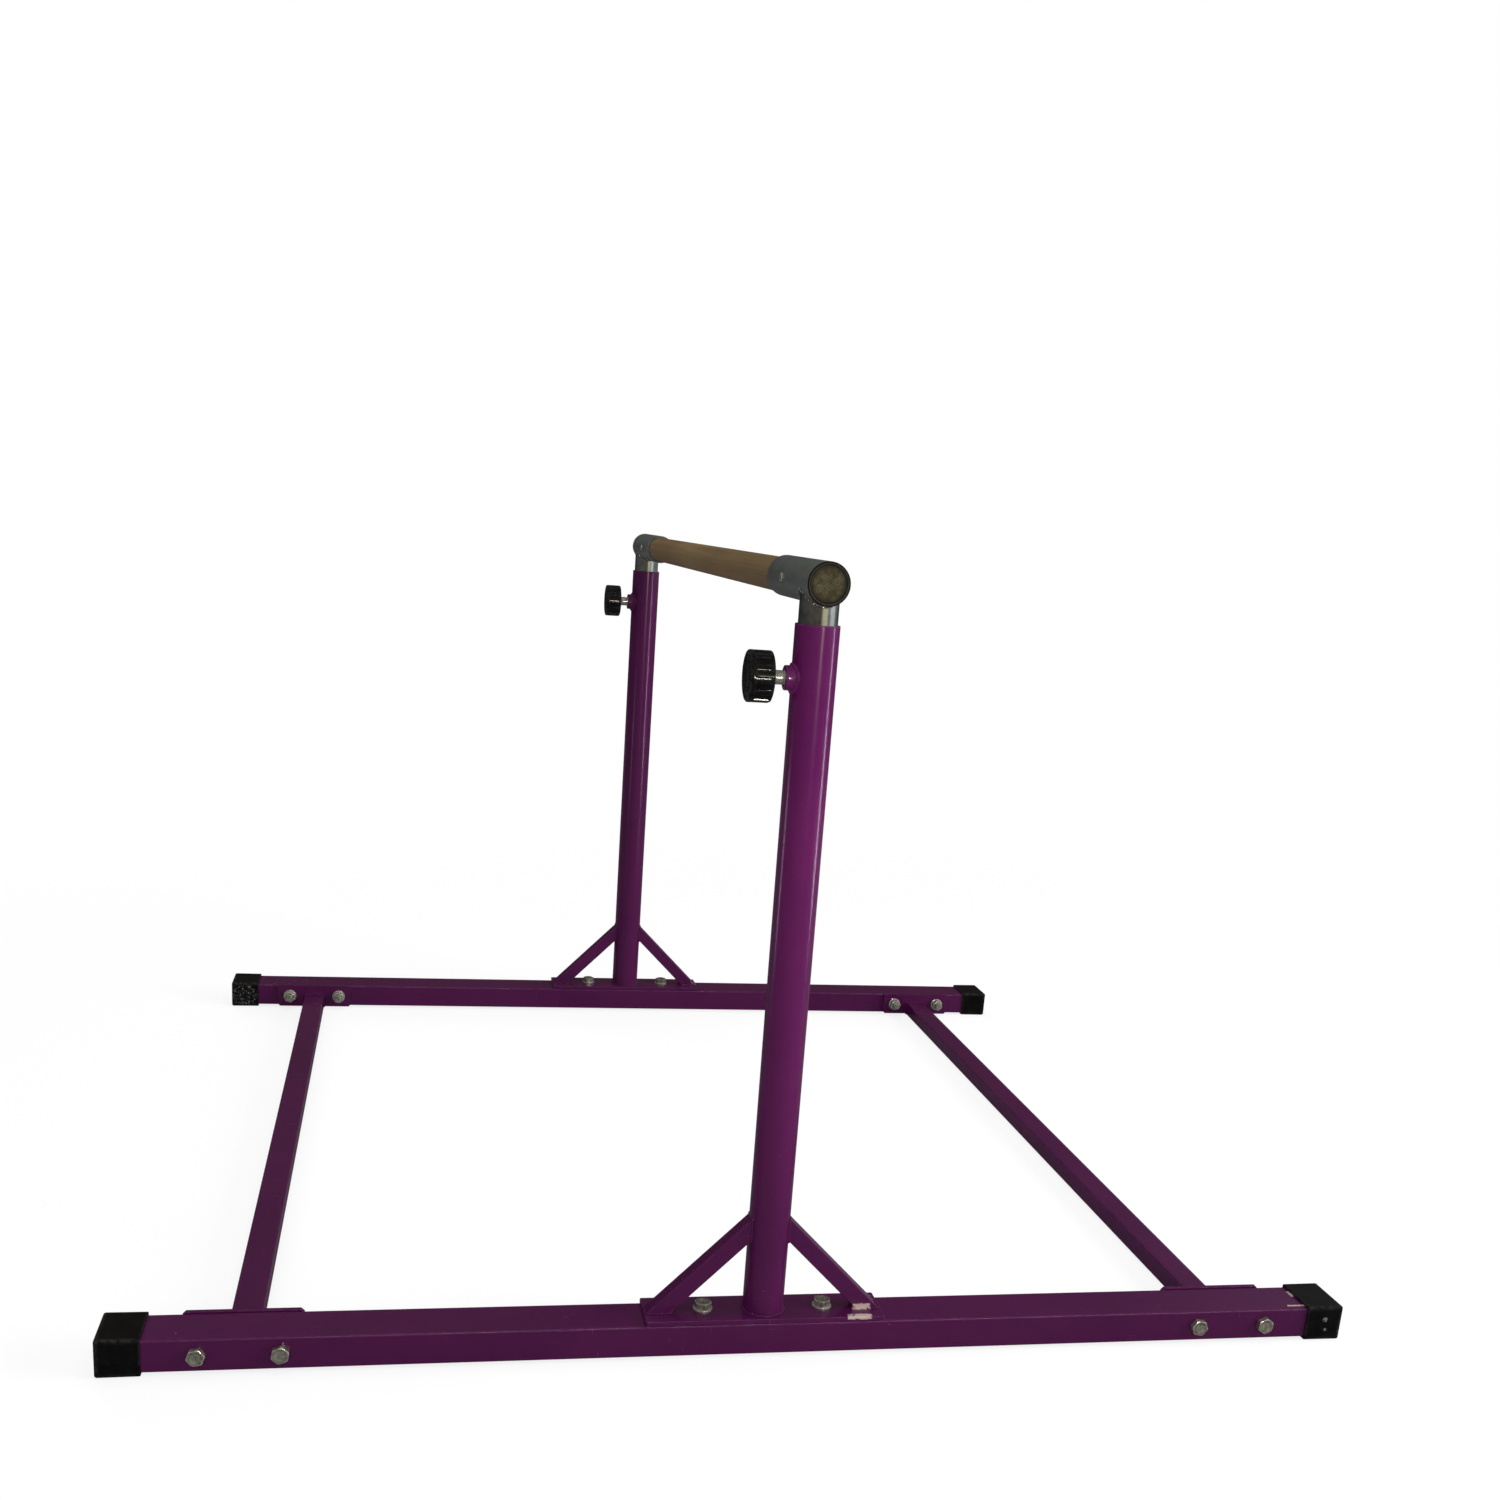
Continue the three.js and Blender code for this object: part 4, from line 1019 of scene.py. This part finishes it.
    for r, w, ed, cut in ((3.3, 61.8, 0, 0), (3.3, 47.6, .3, 0), (8.4, 47.6, .8, 0), (9.0, 48.2, .8, 0), (9.4, 50.6, 0, 0),
                          (20.4, 50.6, 0, 0), (21.0, 48.6, .5, 0), (21.8, 47.9, .9, 0), (24.6, 47.8, .3, 0),
                          (26.0, 47.9, .4, 1), (27.2, 48.3, .8, 1), (28.1, 49.1, .8, 1), (28.5, 50.4, .2, 1),
                          (28.5, 55.0, 0, 1), (28.5, 62.0, 0, 1), (28.5, 67.4, 0, 1), (28.5, 68.4, 0, .93),
                          (28.5, 69.0, .3, .7), (28.5, 69.4, .5, .35), (28.5, 69.6, .6, .1), (28.5, 69.9, .3, 0),
                          (28.5, 72.4, 0, 0), (28.35, 73.4, .5, 0), (27.85, 74.2, .9, 0), (27.1, 74.75, .9, 0),
                          (26.2, 75.0, .5, 0), (24.9, 74.98, .5, 0), (24.5, 74.8, .8, 0), (24.2, 73.8, .2, 0),
                          (21.6, 73.7, 0, 0), (21.3, 74.3, .8, 0), (20.1, 74.35, .8, 0), (19.8, 73.7, 0, 0),
                          (10.4, 73.7, 0, 0), (10.1, 74.3, .8, 0), (9.0, 74.35, .8, 0), (8.7, 73.8, 0, 0),
                          (4.0, 73.9, 0, 0)):
        kring(r, w, ed, cut)
    p.loft(rings, edges, start="fan", end="fan")
    # ring of low studs on the front face
    for k in range(18):
        an = 2 * math.pi * (k + 0.3) / 18
        o = np.array([0, yc, PIN_Z]) + 15.0 * np.array([0.0, -math.cos(an), math.sin(an)])
        lathe(p, axes(o, NY, Z, NX), [(0, 73.2), (1.5, 73.2), (1.5, 74.0), (1.3, 74.5), (0.8, 74.75), (0, 74.8)], 14,
              edges=[0, 0, .4, .9, .5, .2])
    finish_mesh(f"{side}_knob", p, [KNOB], f"{side}_knob", [f"{side}_lock_knob"], 32)

# ------------------------------------------------------------------ telescoping section and bar
for side, s in (("near", -1), ("far", 1)):
    yc = s * POST_Y

    # inner tube: outer and inner walls meet at the height holes and at both ends
    n, half = 72, 3
    rows = []
    z_holes = [PIN_Z - PITCH * k for k in range(HOLES)][::-1]
    box = 9.0
    width = 2 * math.pi / n * half            # half angle of the patch round a hole
    p = Part()

    def column_z(theta, radius):
        """Height of the tube's saddle-cut top at this angle."""
        x = radius * np.cos(theta)
        return BAR_Z - np.sqrt(np.maximum(SLEEVE_R ** 2 - x * x, 0)) + 0.3

    levels = [INNER_BOTTOM]
    sub = np.linspace(-box, box, 2 * half + 1)
    for zh in z_holes:
        levels += [zh + q for q in sub]
    levels += [840.0, 880.0]
    centre_col = n // 2                       # angle pi is the -X side
    cols = np.arange(n)
    theta = cols * 2 * math.pi / n

    def wall(radius, inner):
        ids = {}
        for i, z in enumerate(levels):
            for j in cols:
                ids[i, j] = len(p.v)
                p.v.append((radius * math.cos(theta[j]), yc + radius * math.sin(theta[j]), z))
                p.e.append(0.9 if i == 0 else 0.0)
        i = len(levels)
        for j in cols:
            ids[i, j] = len(p.v)
            p.v.append((radius * math.cos(theta[j]), yc + radius * math.sin(theta[j]), float(column_z(theta[j], radius))))
            p.e.append(0.0)
        return ids

    def add_quads(ids, skip):
        for i in range(len(levels)):
            for j in cols:
                k = (j + 1) % n
                if (i, j) in skip:
                    continue
                p.f.append((ids[i, j], ids[i, k], ids[i + 1, k], ids[i + 1, j]))
                p.m.append(0)

    outer, inner = wall(INNER_R, False), wall(INNER_R - INNER_WALL, True)
    skip = set()
    first_rows = [1 + k * (2 * half + 1) for k in range(HOLES)]
    for r0 in first_rows:
        for i in range(2 * half):
            for j in range(centre_col - half, centre_col + half):
                skip.add((r0 + i, j))
    add_quads(outer, skip)
    add_quads(inner, skip)
    for j in cols:
        k = (j + 1) % n
        p.f.append((outer[0, j], outer[0, k], inner[0, k], inner[0, j]))
        p.m.append(0)
        top = len(levels)
        p.f.append((outer[top, j], outer[top, k], inner[top, k], inner[top, j]))
        p.m.append(0)
    for r0, zh in zip(first_rows, z_holes):
        # border of the patch, in order
        border = [(r0, centre_col - half + q) for q in range(2 * half)]
        border += [(r0 + q, centre_col + half) for q in range(2 * half)]
        border += [(r0 + 2 * half, centre_col + half - q) for q in range(2 * half)]
        border += [(r0 + 2 * half - q, centre_col - half) for q in range(2 * half)]
        m = len(border)
        loops = []
        for ids, radius in ((outer, INNER_R), (inner, INNER_R - INNER_WALL)):
            prev = [ids[b] for b in border]
            for hole_r, ed in ((PIN_HOLE_R + 0.5, 0.4), (PIN_HOLE_R, 1.0)):
                ring = []
                for i, j in border:
                    y0 = -INNER_R * math.sin(theta[j])
                    z0 = levels[i] - zh
                    ang = math.atan2(z0, y0)
                    hy, hz = hole_r * math.cos(ang), hole_r * math.sin(ang)
                    x = -math.sqrt(radius ** 2 - hy ** 2)
                    if hole_r == PIN_HOLE_R:
                        x += 0.25 if radius == INNER_R else -0.1
                    ring.append((x, yc - hy, zh + hz))
                now = p.ring(ring, ed)
                p.bridge(prev, now)
                prev = now
            loops.append(prev)
        p.bridge(loops[0], loops[1])
    finish_mesh(f"{side}_inner_leg", p, [TUBE], "bar_assembly", [f"{side}_inner_tube"], 35)

    # weld between the inner tube and the sleeve
    p = Part()
    a = np.linspace(0, 2 * math.pi, 160, endpoint=False)
    r = INNER_R + 0.7
    x = r * np.cos(a)
    path = np.c_[x, yc + r * np.sin(a), BAR_Z - np.sqrt((SLEEVE_R + 0.5) ** 2 - x * x)]
    bead(p, path, np.c_[np.cos(a), np.sin(a), np.zeros(160)], 1.9, 3.3, True, 71 + s, 0.35, 10, uneven=0.16)
    finish_mesh(f"{side}_sleeve_weld", p, [WELD], "bar_assembly", angle=60)

    # sleeve gripping the end of the bar
    p = Part()
    put = axes((0, 0, BAR_Z), (-s, 0, 0), Z, (0, s, 0))
    y0, y1 = POST_Y + SLEEVE_OUT, POST_Y - SLEEVE_IN
    prof, ed = softened([(SLEEVE_BORE, y1), (SLEEVE_R, y1), (SLEEVE_R, y0), (SLEEVE_BORE, y0)], 0.7, 3, True)
    lathe(p, put, prof, 80, True, ed)
    finish_mesh(f"{side}_sleeve", p, [GREY], "bar_assembly", [f"{side}_bar_sleeve"], 35)

    # cross-slot screw on the -X side of the sleeve; the dark ring round it is painted shade in the sleeve's material
    p = Part()
    ys = s * (POST_Y - SCREW_IN)
    put = axes((0, ys, BAR_Z), NY, Z, NX)
    prof = [(0, 10.0), (1.2, 12.0), (2.4, 14.0), (2.4, 22.4), (5.4, 22.8), (5.4, 24.3), (5.1, 24.75), (4.2, 25.3), (3.2, 25.6)]
    n = 48
    a = np.arange(n) * 2 * math.pi / n
    cs = np.c_[np.cos(a), np.sin(a)]
    lathe(p, put, prof[:-1], n, edges=[0, 0, 0, 0, .5, .9, .7, .3])
    last = list(range(len(p.v) - n, len(p.v)))
    # the slot: lobed ring stepped down into the head
    lobes = 1.05 + 1.65 * np.abs(np.cos(2 * a)) ** 6
    ring1 = p.ring(put(cs * (lobes[:, None] + 0.25), 25.45), 0.9)
    ring2 = p.ring(put(cs * lobes[:, None], 25.3), 0.2)
    ring3 = p.ring(put(cs * (lobes[:, None] * 0.75), 23.9), 0.0)
    p.bridge(last, ring1)
    p.bridge(ring1, ring2)
    p.bridge(ring2, ring3)
    p.fan(ring3, put(np.zeros((1, 2)), 23.4)[0])
    finish_mesh(f"{side}_grip_screw", p, [ZINC_BRIGHT], "bar_assembly", [f"{side}_sleeve_screw"], 35)

# wooden bar: turned stock with eased ends
p = Part()
put = axes((0, 0, BAR_Z), NX, Z, Y)
half_len = POST_Y + SLEEVE_OUT - 1.5
prof = [(0, -half_len - 0.15), (8, -half_len - 0.1), (16.5, -half_len), (19.1, -half_len + 0.1), (20.1, -half_len + 0.5), (BAR_R, -half_len + 1.4)]
prof += [(BAR_R, -half_len + 6)]
prof += [(BAR_R, y) for y in np.linspace(-500, 500, 21)]
prof += [(r, -h) for r, h in prof[6::-1]]
lathe(p, put, prof, 72)
finish_mesh("bar", p, [WOOD], "bar_assembly", ["wooden_bar"], 50)

# ------------------------------------------------------------------ floor, light and camera
def stage_material(name):
    mat = bpy.data.materials.new(name)
    mat.use_nodes = True
    t = mat.node_tree
    t.nodes.clear()
    out = t.nodes.new("ShaderNodeOutputMaterial")
    path = t.nodes.new("ShaderNodeLightPath")
    dif = t.nodes.new("ShaderNodeBsdfDiffuse")
    dif.inputs[0].default_value = (0.60, 0.60, 0.60, 1)
    shown = t.nodes.new("ShaderNodeBsdfDiffuse")
    shown.inputs[0].default_value = (0.82, 0.82, 0.82, 1)
    pale = t.nodes.new("ShaderNodeEmission")
    pale.inputs[0].default_value = (1, 1, 1, 1)
    pale.inputs[1].default_value = 1.0
    mix = t.nodes.new("ShaderNodeMixShader")
    away = t.nodes.new("ShaderNodeVectorMath")
    away.operation = "LENGTH"
    t.links.new(t.nodes.new("ShaderNodeTexCoord").outputs["Object"], away.inputs[0])
    fade = t.nodes.new("ShaderNodeMapRange")
    fade.interpolation_type = "SMOOTHSTEP"
    for k, x in zip((1, 2, 3, 4), (1.0, 3.2, 0.80, 1.0)):
        fade.inputs[k].default_value = x
    t.links.new(away.outputs["Value"], fade.inputs[0])
    t.links.new(fade.outputs[0], mix.inputs[0])
    t.links.new(shown.outputs[0], mix.inputs[1])
    t.links.new(pale.outputs[0], mix.inputs[2])
    dim = t.nodes.new("ShaderNodeBsdfDiffuse")
    dim.inputs[0].default_value = (0.10, 0.095, 0.10, 1)
    a = t.nodes.new("ShaderNodeMixShader")
    t.links.new(path.outputs["Is Glossy Ray"], a.inputs[0])
    t.links.new(dif.outputs[0], a.inputs[1])
    t.links.new(dim.outputs[0], a.inputs[2])
    b = t.nodes.new("ShaderNodeMixShader")
    t.links.new(path.outputs["Is Camera Ray"], b.inputs[0])
    t.links.new(a.outputs[0], b.inputs[1])
    t.links.new(mix.outputs[0], b.inputs[2])
    t.links.new(b.outputs[0], out.inputs[0])
    return mat


me = bpy.data.meshes.new("floor")
me.from_pydata([(-30, -30, -0.0005), (30, -30, -0.0005), (30, 30, -0.0005), (-30, 30, -0.0005)], [], [(0, 1, 2, 3)])
me.materials.append(stage_material("pale_floor"))
floor = bpy.data.objects.new("floor", me)
bpy.context.scene.collection.objects.link(floor)

world = bpy.data.worlds.new("studio")
bpy.context.scene.world = world
world.use_nodes = True
wt = world.node_tree
wt.nodes.clear()
wout = wt.nodes.new("ShaderNodeOutputWorld")
wpath = wt.nodes.new("ShaderNodeLightPath")


def background(colour, strength):
    n = wt.nodes.new("ShaderNodeBackground")
    n.inputs[0].default_value = (*colour, 1)
    n.inputs[1].default_value = strength
    return n


seen = background((1, 1, 1), 1.0)
soft = background((1.0, 0.985, 0.98), 0.34)
wcoord = wt.nodes.new("ShaderNodeTexCoord")
wsep = wt.nodes.new("ShaderNodeSeparateXYZ")
wt.links.new(wcoord.outputs["Generated"], wsep.inputs[0])


def wramp(source, lo, hi, a, b):
    n = wt.nodes.new("ShaderNodeMapRange")
    n.interpolation_type = "SMOOTHSTEP"
    wt.links.new(source, n.inputs[0])
    for k, x in zip((1, 2, 3, 4), (lo, hi, a, b)):
        n.inputs[k].default_value = x
    return n.outputs[0]


def wmath(op, a, b):
    n = wt.nodes.new("ShaderNodeMath")
    n.operation = op
    for k, x in ((0, a), (1, b)):
        if isinstance(x, float):
            n.inputs[k].default_value = x
        else:
            wt.links.new(x, n.inputs[k])
    return n.outputs[0]


front = wramp(wmath("MULTIPLY", wsep.outputs[1], -1.0), 0.15, 0.95, 0.015, 0.25)
right = wramp(wsep.outputs[0], 0.35, 0.90, 0.0, 0.62)
up = wramp(wsep.outputs[2], 0.25, 0.9, 0.0, 0.16)
low = wramp(wsep.outputs[2], -0.20, 0.10, 0.35, 1.0)
back = wmath("MULTIPLY", wramp(wsep.outputs[1], 0.55, 0.95, 0.0, 0.055), wramp(wsep.outputs[2], 0.05, 0.30, 0.0, 1.0))
left = wramp(wmath("MULTIPLY", wsep.outputs[0], -1.0), 0.50, 0.95, 0.0, 0.18)
layers = None
for amount, tint in ((front, (1.0, 0.93, 0.60)), (right, (0.86, 0.97, 1.0)), (up, (1.0, 0.98, 0.95)),
                     (back, (1.0, 0.72, 0.62)), (left, (0.95, 0.95, 1.0))):
    layer = background(tint, 1.0)
    wt.links.new(wmath("MULTIPLY", amount, low), layer.inputs[1])
    if layers is None:
        layers = layer
    else:
        both = wt.nodes.new("ShaderNodeAddShader")
        wt.links.new(layers.outputs[0], both.inputs[0])
        wt.links.new(layer.outputs[0], both.inputs[1])
        layers = both
gloss = layers
m1 = wt.nodes.new("ShaderNodeMixShader")
m2 = wt.nodes.new("ShaderNodeMixShader")
wt.links.new(wpath.outputs["Is Glossy Ray"], m1.inputs[0])
wt.links.new(soft.outputs[0], m1.inputs[1])
wt.links.new(gloss.outputs[0], m1.inputs[2])
wt.links.new(wpath.outputs["Is Camera Ray"], m2.inputs[0])
wt.links.new(m1.outputs[0], m2.inputs[1])
wt.links.new(seen.outputs[0], m2.inputs[2])
wt.links.new(m2.outputs[0], wout.inputs[0])


def lamp(name, where, aim, size, power, colour=(1, 1, 1), glossy=True, diffuse=True, only=()):
    d = bpy.data.lights.new(name, "AREA")
    d.shape = "RECTANGLE"
    d.size, d.size_y = size
    d.energy = power
    d.color = colour
    o = bpy.data.objects.new(name, d)
    o.location = where
    o.rotation_mode = "QUATERNION"
    o.rotation_quaternion = (Vector(aim) - Vector(where)).to_track_quat("-Z", "Y")
    bpy.context.scene.collection.objects.link(o)
    o.visible_glossy = glossy
    o.visible_diffuse = diffuse
    o.visible_camera = False
    if only:
        group = bpy.data.collections.new(name + "_receivers")
        for piece in bpy.data.objects:
            if piece.type == "MESH" and any(piece.name.endswith(tail) for tail in only):
                group.objects.link(piece)
        o.light_linking.receiver_collection = group
    return o


lamp("key_right", (4.2, -1.6, 1.6), (0, 0, 0.4), (2.6, 2.4), 260, (1.0, 0.97, 0.95), glossy=False)
lamp("fill_front", (-1.0, -5.0, 2.2), (0, 0, 0.4), (3.5, 2.0), 134, (1.0, 0.98, 0.98), glossy=False)
lamp("top_soft", (0.0, 0.0, 4.5), (0, 0, 0), (4.0, 4.0), 96, glossy=False)
lamp("fill_back", (-2.4, 5.2, 2.0), (0, 0, 0.4), (3.5, 2.0), 150, (1.0, 0.98, 0.98), glossy=False)
POSTS = ("near_post", "far_post")
SMALL = ("_knob", "_barrel", "_boss", "_bolt_a", "_bolt_b", "_nut_a", "_nut_b", "_bolt_left", "_bolt_right",
         "_grip_screw", "_sleeve_weld", "_post_foot_weld", "_brace_welds")
STRAIGHT = ("_base_tube_body", "_foot_plate", "_end_plate", "_brace_tube", "_rail_tube")
lamp("window", (1.0, -4.05, 0.90), (0, -0.71, 0.86), (0.26, 0.40), 10, (1.0, 0.93, 0.78), diffuse=False, only=POSTS)
lamp("window_tube", (1.55, -3.90, 0.88), (0, -0.71, 0.89), (2.2, 0.60), 4.6, (1.0, 0.95, 0.66), diffuse=False, only=("_inner_leg",))
lamp("sky_tube", (2.4, -1.36, 0.80), (0, -0.71, 0.89), (1.6, 1.2), 4.6, (0.90, 0.99, 1.0), diffuse=False, only=("_inner_leg",))
lamp("glint", (0.71, -4.05, 0.80), (-0.04, -0.71, 0.81), (0.16, 0.16), 48, (1.0, 0.96, 0.82), diffuse=False, only=SMALL)
lamp("strip_right", (2.4, -0.95, 0.37), (0, -0.71, 0.7), (0.05, 0.80), 6.5, (0.96, 0.84, 1.0), diffuse=False, only=POSTS)
lamp("strip_left", (-1.3, -0.33, 0.33), (0, -0.71, 0.3), (0.03, 0.35), 0.5, (1.0, 0.93, 1.0), only=POSTS)
lamp("glint_weld", (-1.6, -2.9, 1.0), (0, -0.71, 0.89), (0.5, 0.5), 14, (0.95, 0.97, 1.0), diffuse=False, only=("_sleeve_weld", "_grip_screw"))
lamp("strip_edge", (1.2, -4.0, 2.5), (0.3, -0.74, 0.04), (4.6, 0.07), 60, (1.0, 0.90, 0.97), diffuse=False, only=STRAIGHT)
d = bpy.data.lights.new("post_kick", "SPOT")
d.energy, d.color = 225, (1.0, 0.90, 0.92)
d.spot_size, d.spot_blend, d.shadow_soft_size = math.radians(20), 1.0, 0.25
o = bpy.data.objects.new("post_kick", d)
o.location = (2.1, -2.3, 1.45)
o.rotation_mode = "QUATERNION"
o.rotation_quaternion = (Vector((0.0, -0.7125, 0.66)) - o.location).to_track_quat("-Z", "Y")
bpy.context.scene.collection.objects.link(o)
o.visible_glossy = False
d = bpy.data.lights.new("post_front", "SPOT")
d.energy, d.color = 370, (1.0, 0.88, 0.87)
d.spot_size, d.spot_blend, d.shadow_soft_size = math.radians(20), 1.0, 0.25
o = bpy.data.objects.new("post_front", d)
o.location = (0.0, -3.55, 1.3)
o.rotation_mode = "QUATERNION"
o.rotation_quaternion = (Vector((0.0, -0.7125, 0.72)) - o.location).to_track_quat("-Z", "Y")
bpy.context.scene.collection.objects.link(o)
o.visible_glossy = False
d = bpy.data.lights.new("base_front", "SPOT")
d.energy, d.color = 90, (1.0, 0.92, 0.92)
d.spot_size, d.spot_blend, d.shadow_soft_size = math.radians(18), 1.0, 0.25
o = bpy.data.objects.new("base_front", d)
o.location = (0.1, -3.7, 1.1)
o.rotation_mode = "QUATERNION"
o.rotation_quaternion = (Vector((0.05, -0.745, 0.03)) - o.location).to_track_quat("-Z", "Y")
bpy.context.scene.collection.objects.link(o)
o.visible_glossy = False
uprights = bpy.data.collections.new("upright_receivers")
for piece in bpy.data.objects:
    if piece.name in ("near_post", "near_boss"):
        uprights.objects.link(piece)
for spot in ("post_kick", "post_front"):
    bpy.data.objects[spot].light_linking.receiver_collection = uprights

cam = bpy.data.cameras.new("camera")
cam.sensor_fit = "HORIZONTAL"
cam.sensor_width = 36.0
cam.lens = 1626.19 / 1500 * 36.0
cam.clip_start, cam.clip_end = 0.05, 100
cam_ob = bpy.data.objects.new("camera", cam)
bpy.context.scene.collection.objects.link(cam_ob)


def rotvec(v):
    v = np.array(v, float)
    t = np.linalg.norm(v)
    k = v / t
    K = np.array([[0, -k[2], k[1]], [k[2], 0, -k[0]], [-k[1], k[0], 0]])
    return np.eye(3) + math.sin(t) * K + (1 - math.cos(t)) * K @ K


R = rotvec((0.28053, -0.20139, 0.04441)) @ np.array([[1, 0, 0], [0, 0, -1], [0, 1, 0]], float)
m = Matrix(((R[0][0], -R[1][0], -R[2][0], -0.42665), (R[0][1], -R[1][1], -R[2][1], -2.47400),
            (R[0][2], -R[1][2], -R[2][2], 0.96881), (0, 0, 0, 1)))
cam_ob.matrix_world = m
# the lens rise belongs to the main viewpoint only: seen from anywhere else the object is centred
curve = cam.driver_add("shift_y")
curve.driver.type = "SUM"
var = curve.driver.variables.new()
var.type = "TRANSFORMS"
var.targets[0].id = cam_ob
var.targets[0].transform_type = "LOC_X"
for mod in list(curve.modifiers):
    curve.modifiers.remove(mod)
for at_x, value in ((-0.46665, 0.0), (-0.42665, 233.03 / 1500), (-0.38665, 0.0)):
    key = curve.keyframe_points.insert(at_x, value)
    key.interpolation = "LINEAR"
bpy.context.scene.camera = cam_ob
bpy.context.scene.view_settings.view_transform = "Standard"

bpy.context.view_layer.update()
